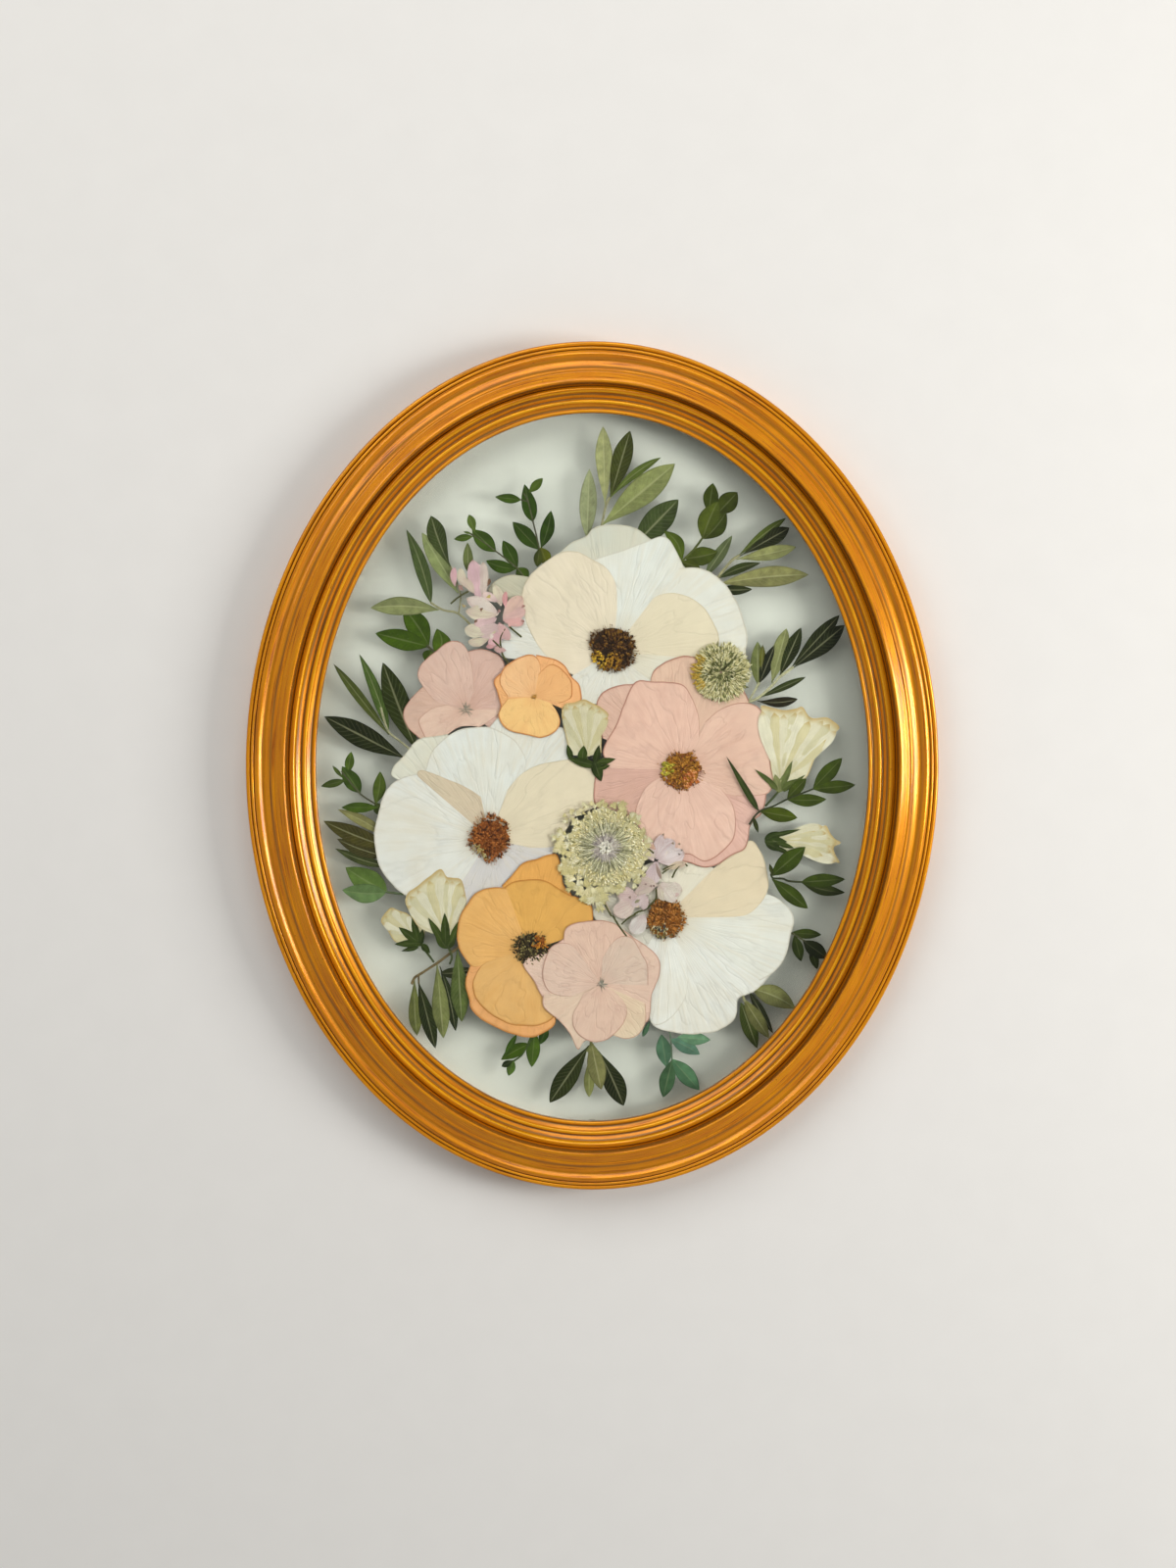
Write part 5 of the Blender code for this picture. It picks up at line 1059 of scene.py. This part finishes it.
def moulding_section():
    """(u, z) round the section: up the rebate, over the carved face, and down the outer side."""

    def bead(u, z, radius):
        turns = [math.pi * (1 - step / 8) for step in range(9)]
        return [(u + radius * math.cos(turn), z + radius * math.sin(turn)) for turn in turns]

    def run(points):
        return [tuple(point) for point in smooth_curve(points, 3)]

    lip = [(REBATE, 0), (REBATE, LIP_Z), (0.5, LIP_Z), (0.1, 14.1)]
    sight = run(((0, 16.0), (0.3, 16.8), (0.9, 17.1), (1.5, 17.0), (2.1, 16.4), (2.7, 16.3),
                 (3.5, 16.85), (4.3, 17.4)))
    between = run(((6.4, 17.2), (6.9, 16.9), (7.4, 17.05), (8.4, 17.75), (9.4, 18.5), (9.6, 18.9)))
    hollow = run(((12.4, 18.7), (12.8, 18.4), (13.2, 18.9)))
    crown = run(((13.5, 21.6), (13.8, 23.5), (14.2, 24.3), (14.8, 24.5), (15.6, 24.2), (16.8, 23.5),
                 (18.0, 22.8), (18.9, 22.25), (19.3, 22.15), (19.8, 22.3), (20.3, 22.15), (21.1, 21.6),
                 (22.2, 21.0), (23.4, 20.6), (24.6, 20.45), (25.6, 20.7), (26.6, 21.3), (27.3, 21.6),
                 (28.0, 21.4), (28.8, 20.9), (29.2, 20.4)))
    side = [(FACE, 17.2), (FACE, 9.0), (FACE, 0.8), (FACE - 0.6, 0)]
    return (
        lip + sight + bead(5.4, 17.5, 1.0) + between + bead(11.0, 19.1, 1.4) + hollow + crown
        + bead(30.2, 19.9, 0.75) + [(31.1, 19.4)] + bead(32.3, 18.7, 1.15) + side
    )


def section_relief(section):
    """How far along the section each point is, and how far it stands above those on either side of it."""
    along = [0.0]
    for before, after in zip(section, section[1:]):
        along.append(along[-1] + math.dist(before, after))
    relief = []
    for here, (_, z) in zip(along, section):
        near = [height for there, (_, height) in zip(along, section) if abs(there - here) < RELIEF_REACH]
        relief.append(z - sum(near) / len(near))
    return along, relief


def make_moulding():
    section = moulding_section()
    along, relief = section_relief(section)
    points, coords, heights = [], [], []
    mean_radius = (SIGHT_X + SIGHT_Y + FACE) / 2
    for step in range(RING_STEPS):
        turn = math.tau * step / RING_STEPS
        for (u, z), v, height in zip(section, along, relief):
            x, y = oval(u, turn)
            waver = RING_WAVER * wobble(x, y, 1, 14) if 0 < z and u < FACE else 0
            points.append((x * MM, y * MM, (z + waver) * MM))
            coords += (mean_radius * math.cos(turn), mean_radius * math.sin(turn), v)
            heights.append(height)
    width = len(section)
    faces = []
    bare = []
    for i in range(RING_STEPS):
        for j in range(width):
            # The rebate and the back, which the gilder left bare, are the first face and the last.
            bare.append(int(j in (0, width - 1)))
            a = i * width + j
            b = i * width + (j + 1) % width
            onwards = (i + 1) % RING_STEPS * width - i * width
            faces.append((a, b, b + onwards, a + onwards))
    mesh = bpy.data.meshes.new("gilt_moulding")
    mesh.from_pydata(points, [], faces)
    mesh.attributes.new("section", "FLOAT_VECTOR", "POINT").data.foreach_set("vector", coords)
    mesh.attributes.new("relief", "FLOAT", "POINT").data.foreach_set("value", heights)
    mesh.polygons.foreach_set("material_index", bare)
    dress(mesh, (water_gilt_wood(), sawn_limewood()))
    moulding = add_object("gilt_moulding", mesh)
    settle(moulding, "frame_moulding")
    for size in (PLATE_POCKET, NAIL_ROOM):
        cut_block(moulding, size)


def cut_block(piece, size):
    """Cuts a block of this width, height and depth in mm into the back, behind the hanger plate."""
    low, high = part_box("hanger_plate")
    middle = (low + high) / 2
    width, height, depth = (side * MM for side in size)
    mesh = bpy.data.meshes.new("block")
    work = bmesh.new()
    bmesh.ops.create_cube(work, size=1.0)
    bmesh.ops.scale(work, vec=(width, height, 2 * depth), verts=work.verts)
    bmesh.ops.translate(work, vec=(middle.x, middle.y, 0), verts=work.verts)
    work.to_mesh(mesh)
    work.free()
    mesh.materials.append(piece.data.materials[1])
    block = add_object("block", mesh)
    modifier = piece.modifiers.new("pocket", "BOOLEAN")
    modifier.operation = "DIFFERENCE"
    modifier.object = block
    modifier.material_mode = "TRANSFER"
    evaluated = piece.evaluated_get(bpy.context.evaluated_depsgraph_get())
    piece.data = bpy.data.meshes.new_from_object(evaluated)
    piece.modifiers.clear()
    bpy.data.objects.remove(block)


def make_panes():
    glass = float_glass()
    for node in ("back_glass", "front_glass"):
        low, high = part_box(node)
        rings = (
            (GLASS_OVERLAP - GLASS_RIM, low.z),
            (GLASS_OVERLAP, low.z + GLASS_RIM * MM),
            (GLASS_OVERLAP, high.z - GLASS_RIM * MM),
            (GLASS_OVERLAP - GLASS_RIM, high.z),
        )
        points = []
        for u, z in rings:
            for step in range(GLASS_STEPS):
                x, y = oval(u, math.tau * step / GLASS_STEPS)
                points.append((x * MM, y * MM, z))
        faces = [tuple(reversed(range(GLASS_STEPS))), tuple(range(3 * GLASS_STEPS, 4 * GLASS_STEPS))]
        for i in range(3):
            for j in range(GLASS_STEPS):
                a = i * GLASS_STEPS + j
                b = i * GLASS_STEPS + (j + 1) % GLASS_STEPS
                faces.append((a, b, b + GLASS_STEPS, a + GLASS_STEPS))
        mesh = bpy.data.meshes.new(f"{node}_pane")
        mesh.from_pydata(points, [], faces)
        mesh.materials.append(glass)
        pane = add_object(f"{node}_pane", mesh)
        settle(pane, node)
        # Light reaches the flowers through the glass.
        pane.visible_shadow = False


def plate_hardware():
    steel = zinc_plated_steel()
    for name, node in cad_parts.items():
        if name.startswith(("glazing_tab", "hanger")):
            node.data.materials.clear()
            node.data.materials.append(steel)


def make_blooms(strand):
    looks = {colour: dried_tissue(f"pressed_{colour}_petal", *look) for colour, look in PETAL_LOOKS.items()}
    for seed, (name, (base, petals)) in enumerate(BLOOMS.items(), start=1):
        bloom = Plant(10 * seed)
        bottom = layer_z(name)
        for number, (tint, rim) in enumerate(petals):
            lift = bottom + 0.05 + PETAL_STACK * number / len(petals)
            bloom.petal(base, rim, tint, lift)
        if name in HEARTS:
            add_heart(bloom, base, bottom + 0.3, *HEARTS[name])
        bloom.finish(f"{name}_petals", name, [looks[name.split("_")[0]], strand])


def add_heart(bloom, base, z, radius, tints):
    """The dried heart of a bloom that shows no stamens."""
    for _ in range(26):
        turn = bloom.dice.uniform(0, math.tau)
        way = heading(turn)
        tip = Vector(base) + way * radius * bloom.dice.uniform(0.4, 1.1)
        bloom.strand((*(Vector(base) - way * 0.4), z), (*tip, z), 0.6, bloom.dice.choice(tints))


def make_stamens(strand):
    for seed, (name, look) in enumerate(STAMENS.items(), start=1):
        middle, radii, tints, patches, thread, count, height = look
        tuft = Plant(seed)
        dice = tuft.dice
        bottom = layer_z(name)
        middle = Vector(middle)

        def spot_at(out):
            turn = dice.uniform(0, math.tau)
            ragged = 1 + 0.22 * wobble(9 * math.cos(turn), 9 * math.sin(turn), seed, 6)
            way = Vector((radii[0] * math.cos(turn), radii[1] * math.sin(turn)))
            return middle + way * out * ragged, turn

        # The crushed receptacle under the stamens.
        rim = disc_rim(middle, 0.88 * min(radii))
        tuft.petal(middle, rim, tints[0], bottom + 0.02, 0.8, rows_out=4, steps=2)
        for _ in range(count // 3):
            root, turn = spot_at(0.8)
            tip = middle + (root - middle) * dice.uniform(1.15, 1.45)
            z = bottom + 0.1 + 0.2 * dice.random()
            tuft.strand((*root, z), (*tip, z), 0.22, thread)
            if dice.random() < 0.4:
                tuft.grain((*tip, z), 0.7, 0.5, turn, dice.choice(tints))
        for _ in range(count):
            out = math.sqrt(dice.random()) * 0.97
            spot, turn = spot_at(out)
            z = bottom + 0.15 + height * (1 - 0.7 * out) * dice.random()
            shades = tints
            for place, radius, others in patches:
                if (spot - Vector(place)).length < radius * dice.uniform(0.7, 1.1):
                    shades = others
            tuft.grain((*spot, z), dice.uniform(1.0, 2.2), dice.uniform(0.7, 1.2),
                       turn + dice.uniform(-1, 1), dice.choice(shades))
        tuft.finish(f"{name}_tuft", name, [strand, strand])


def make_scabious(strand):
    tissue = dried_tissue("pressed_scabious_floret", 5, "A8A274", 0.4, "8C8658", 0.4, 0.8, 0.5, 0.15)
    make_small_scabious(tissue, strand)
    make_large_scabious(tissue, strand)


def disc_rim(middle, radius):
    """Points round a disc, back to the first."""
    return [middle + radius * heading(math.tau * k / 14) for k in range(15)]


def make_small_scabious(tissue, strand):
    """A domed head of short florets that point outwards over green bracts."""
    head = Plant(21)
    dice = head.dice
    bottom = layer_z("scabious_small")
    middle = Vector((62.3, 48))
    head.petal(middle, disc_rim(middle, 12.5), "6E7044", bottom + 0.05, 0.4)
    for _ in range(34):
        turn = dice.uniform(0, math.tau)
        base = middle + dice.uniform(9.5, 11.5) * heading(turn)
        tint = dice.choice(("C9C08E", "D6CEA4", "BDB584"))
        head.floret(base, turn + dice.uniform(-0.3, 0.3), dice.uniform(2.5, 4.2), 0.9, tint, bottom + 0.12)
    count = 900
    for number in range(count):
        out = 13.2 * math.sqrt(1 - number / count)
        turn = dice.uniform(0, math.tau)
        way = heading(turn)
        aim = turn + dice.uniform(-0.45, 0.45)
        root = middle + way * out
        tip = root + dice.uniform(1.2, 2.6) * heading(aim)
        z = bottom + 0.2 + 0.6 * (1 - out / 12.6)
        tints = ("C4BC8C", "D2CAA0", "B4AC7C", "DAD4B2", "A09A68", "6A6C40")
        # The middle is greener, and the left side has yellowed.
        if out < 5:
            tints = ("8C8E60", "5A5E36", "AEA878", "C4BC90", "484C28")
        if way.x < -0.75 and out > 9:
            tints = ("B8963C", "C9B060", "A88C34")
        head.strand((*root, z), (*tip, z + 0.15), dice.uniform(0.5, 0.95), dice.choice(tints))
    head.finish("scabious_small_head", "scabious_small", [tissue, strand])


def make_large_scabious(tissue, strand):
    """A fuller head: frilled florets outside, then threads, and a pale boss in the middle."""
    head = Plant(33)
    dice = head.dice
    bottom = layer_z("scabious_large")
    middle = Vector((6.6, -37.2))
    creams = ("DCCFA0", "E4DAB4", "D4C694", "CABC86", "DCCFA6", "EAE2C6")
    head.petal(middle, disc_rim(middle, 18.5), "CFC8A2", bottom + 0.02, 1.0)
    # Heaps of florets: a spot, and how far its florets reach.
    heaps = (
        (-9, -49, 5.5), (-6, -54, 5.5), (-11, -44, 5), (-2, -57, 6), (1.5, -60, 6.5), (6, -57, 5.5),
        (12, -54, 5), (-13, -37, 5), (-14, -33, 4.5), (-9, -24, 4.5), (-2, -20, 4), (5, -18.5, 4),
        (14, -20, 5), (20, -24, 4.5), (23, -31, 4), (24, -38, 4), (22, -46, 4.5), (18, -51, 4.5),
    )
    for k in range(16):
        turn = math.tau * k / 16
        spot = middle + 14.5 * heading(turn)
        for _ in range(7):
            base = spot + Vector((dice.uniform(-2, 2), dice.uniform(-2, 2)))
            head.floret(base, turn + dice.uniform(-0.8, 0.8), dice.uniform(2.6, 5.2), dice.uniform(0.7, 1.1),
                        dice.choice(creams), bottom + 0.04 + 0.1 * dice.random())
    for x, y, reach in heaps:
        spot = Vector((x, y))
        outwards = math.atan2(y - middle.y, x - middle.x)
        for k in range(11):
            turn = outwards + dice.uniform(-1.3, 1.3)
            base = spot + Vector((dice.uniform(-3, 3), dice.uniform(-3, 3)))
            head.floret(base, turn, reach * dice.uniform(0.6, 1.05), dice.uniform(0.7, 1.2),
                        dice.choice(creams), bottom + 0.05 + 0.02 * k)
    for _ in range(520):
        turn = dice.uniform(0, math.tau)
        out = dice.uniform(10.5, 18.5)
        spot = middle + out * heading(turn)
        tint = dice.choice(creams + creams + ("A8A278", "8E8A5A"))
        head.grain((*spot, bottom + 0.3), dice.uniform(0.9, 2.0), dice.uniform(0.5, 0.9),
                   turn + dice.uniform(-0.8, 0.8), tint)
    for _ in range(330):
        way = heading(dice.uniform(0, math.tau))
        inner, outer = dice.uniform(5.5, 9), dice.uniform(9.5, 14.2)
        z = bottom + 0.4 + 0.15 * dice.random()
        tint = dice.choice(("7C7A5C", "9A9878", "BCB896", "CEC9AA", "ACA88A", "D8D4BC"))
        width = dice.uniform(0.45, 0.75)
        head.strand((*(middle + way * inner), z), (*(middle + way * outer), z), width, tint)
    for _ in range(200):
        way = heading(dice.uniform(0, math.tau))
        inner, outer = dice.uniform(2.5, 4), dice.uniform(6, 9)
        z = bottom + 0.55 + 0.05 * dice.random()
        tint = dice.choice(("A79C98", "B8AEA6", "948A8A", "C6BEB6"))
        head.strand((*(middle + way * inner), z), (*(middle + way * outer), z), 0.5, tint)
    for _ in range(90):
        turn = dice.uniform(0, math.tau)
        spot = middle + 3.6 * math.sqrt(dice.random()) * heading(turn)
        head.grain((*spot, bottom + 0.62), 1.4, 0.8, turn, dice.choice(("D8D3C4", "E2DED2", "CBC4B6")))
    head.finish("scabious_large_head", "scabious_large", [tissue, strand])


def make_larkspurs(strand):
    tissue = dried_tissue("pressed_larkspur_petal", 6, "B89A9A", 0.5, "A88C78", 0.5, 0.9, 0.3, 0.2)
    for seed, (name, (stalks, petals)) in enumerate(LARKSPURS.items(), start=1):
        spike = Plant(40 + seed)
        bottom = layer_z(name)
        for points in stalks:
            spike.stalk(points, 0.9, "4A4A26", bottom + STALK_LIFT)
        for number, (base, tip, width, tint) in enumerate(petals):
            lift = bottom + 0.04 + PETAL_STACK * number / len(petals)
            spike.leaf(base, tip, width, spike.dice.uniform(-0.8, 0.8), 0.58, tint, lift, blunt=0.6)
            # Broad petals are crumpled: smaller folds of the same tissue lie on them.
            for _ in range(int(width / 2.2)):
                spot = Vector(base).lerp(Vector(tip), spike.dice.uniform(0.15, 0.7))
                turn = math.atan2(tip[1] - base[1], tip[0] - base[0]) + spike.dice.uniform(-1.2, 1.2)
                spike.floret(spot, turn, width * spike.dice.uniform(0.4, 0.7), spike.dice.uniform(0.5, 1.0),
                             spike.dice.choice((tint, "DCCFC6", "CDB0AC", "C9BE9C")), lift + 0.02)
        spike.finish(f"{name}_spike", name, [tissue, strand])


def make_bells(leaf, strand):
    tissue = dried_tissue("pressed_bell_corolla", 22, "B8AE86", 0.4, "B4934A", 0.75, 0.9, 0.5, 0.12)
    for seed, (name, (base, rim, tint, sepals, stalk)) in enumerate(BELLS.items(), start=1):
        bell = Plant(50 + seed)
        bottom = layer_z(name)
        bell.petal(base, rim, tint, bottom + 0.04, 0.35)
        # Pleats: folds of the corolla that lie on each other from the base to the mouth.
        mouth = rim[len(rim) // 4 : len(rim) - len(rim) // 4]
        for number, tip in enumerate(mouth):
            reach = Vector(base).lerp(Vector(tip), 0.94)
            width = 0.16 * (reach - Vector(base)).length + 1.2
            shade = PLEAT_TINTS[(number + seed) % len(PLEAT_TINTS)]
            bell.leaf(base, reach, width, bell.dice.uniform(-0.8, 0.8), 0.72, shade,
                      bottom + 0.09 + 0.01 * number, blunt=0.6)
        for number, (foot, tip, width, green) in enumerate(sepals):
            bell.leaf(foot, tip, width, 0, 0.4, green, bottom + 0.16 + 0.02 * number, slot=2)
        if stalk:
            bell.stalk(stalk, 1.1, "3C4622", bottom + STALK_LIFT)
        bell.finish(f"{name}_pressed", name, [tissue, strand, leaf])


def make_sprigs(leaves, strand):
    for seed, (name, (look, stalk_tint, stalks, blades)) in enumerate(SPRIGS.items(), start=1):
        sprig = Plant(60 + seed)
        bottom = layer_z(name)
        for points, width in stalks:
            sprig.stalk(points, width, stalk_tint, bottom + STALK_LIFT)
        for number, (base, tip, width, bow, belly, tint) in enumerate(blades):
            lift = bottom + 0.05 + LEAF_STACK * number / len(blades)
            sprig.leaf(base, tip, width, bow, belly, tint, lift)
        sprig.finish(f"{name}_pressed", name, [leaves[look], strand])


def make_floor():
    half = FLOOR_SIDE / 2
    corners = [(-half, -half, 0), (half, -half, 0), (half, half, 0), (-half, half, 0)]
    mesh = bpy.data.meshes.new("floor")
    mesh.from_pydata(corners, [], [(0, 1, 2, 3)])
    mesh.materials.append(matt_painted_board())
    floor = add_object("floor", mesh)


def add_lamp(name, place, size, power, colour):
    """A rectangular lamp that faces the middle of the floor."""
    lamp = bpy.data.lights.new(name, "AREA")
    lamp.shape = "RECTANGLE"
    lamp.size, lamp.size_y = size
    lamp.energy = power
    lamp.color = colour
    holder = add_object(name, lamp)
    holder.location = place
    holder.rotation_euler = (-Vector(place)).to_track_quat("-Z", "Y").to_euler()


def light_scene():
    """A bright window on the right, a wide soft skylight past its top, and a white room.

    The ceiling is dark straight above, where the glass would mirror it.
    """
    for name, settings in LAMPS.items():
        add_lamp(name, *settings)
    world = bpy.data.worlds.new("room")
    world.use_nodes = True
    tree = world.node_tree
    where = add_node(tree, "TexCoord", {}, {}).outputs["Generated"]
    upwards = add_node(tree, "SeparateXYZ", {}, {0: where}).outputs["Z"]
    glow = add_node(tree, "MapRange", {}, {"Value": upwards, 1: 0.9, 2: 0.965, 3: 0.4, 4: 0.08})
    feed(tree, tree.nodes["Background"], {"Color": linear("F4F4F2"), "Strength": glow})
    bpy.context.scene.world = world
    bpy.context.scene.view_settings.view_transform = "Standard"


def place_camera():
    camera = bpy.data.cameras.new("camera")
    camera.lens = CAMERA_LENS
    camera.sensor_width = CAMERA_SENSOR
    holder = add_object("camera", camera)
    step_back = Vector((0, math.sin(CAMERA_TILT), math.cos(CAMERA_TILT))) * CAMERA_DISTANCE
    holder.location = oval_middle() + Vector(CAMERA_AIM) * MM + step_back
    holder.rotation_euler = (-CAMERA_TILT, 0, 0)
    bpy.context.scene.camera = holder


strand = dried_strand("dry_stalk_fibre")
leaves = {name: dried_leaf(name, *look) for name, look in LEAF_LOOKS.items()}
make_moulding()
make_panes()
plate_hardware()
make_blooms(strand)
make_stamens(strand)
make_scabious(strand)
make_larkspurs(strand)
make_bells(leaves["pressed_myrtle_leaf"], strand)
make_sprigs(leaves, strand)
make_floor()
light_scene()
place_camera()
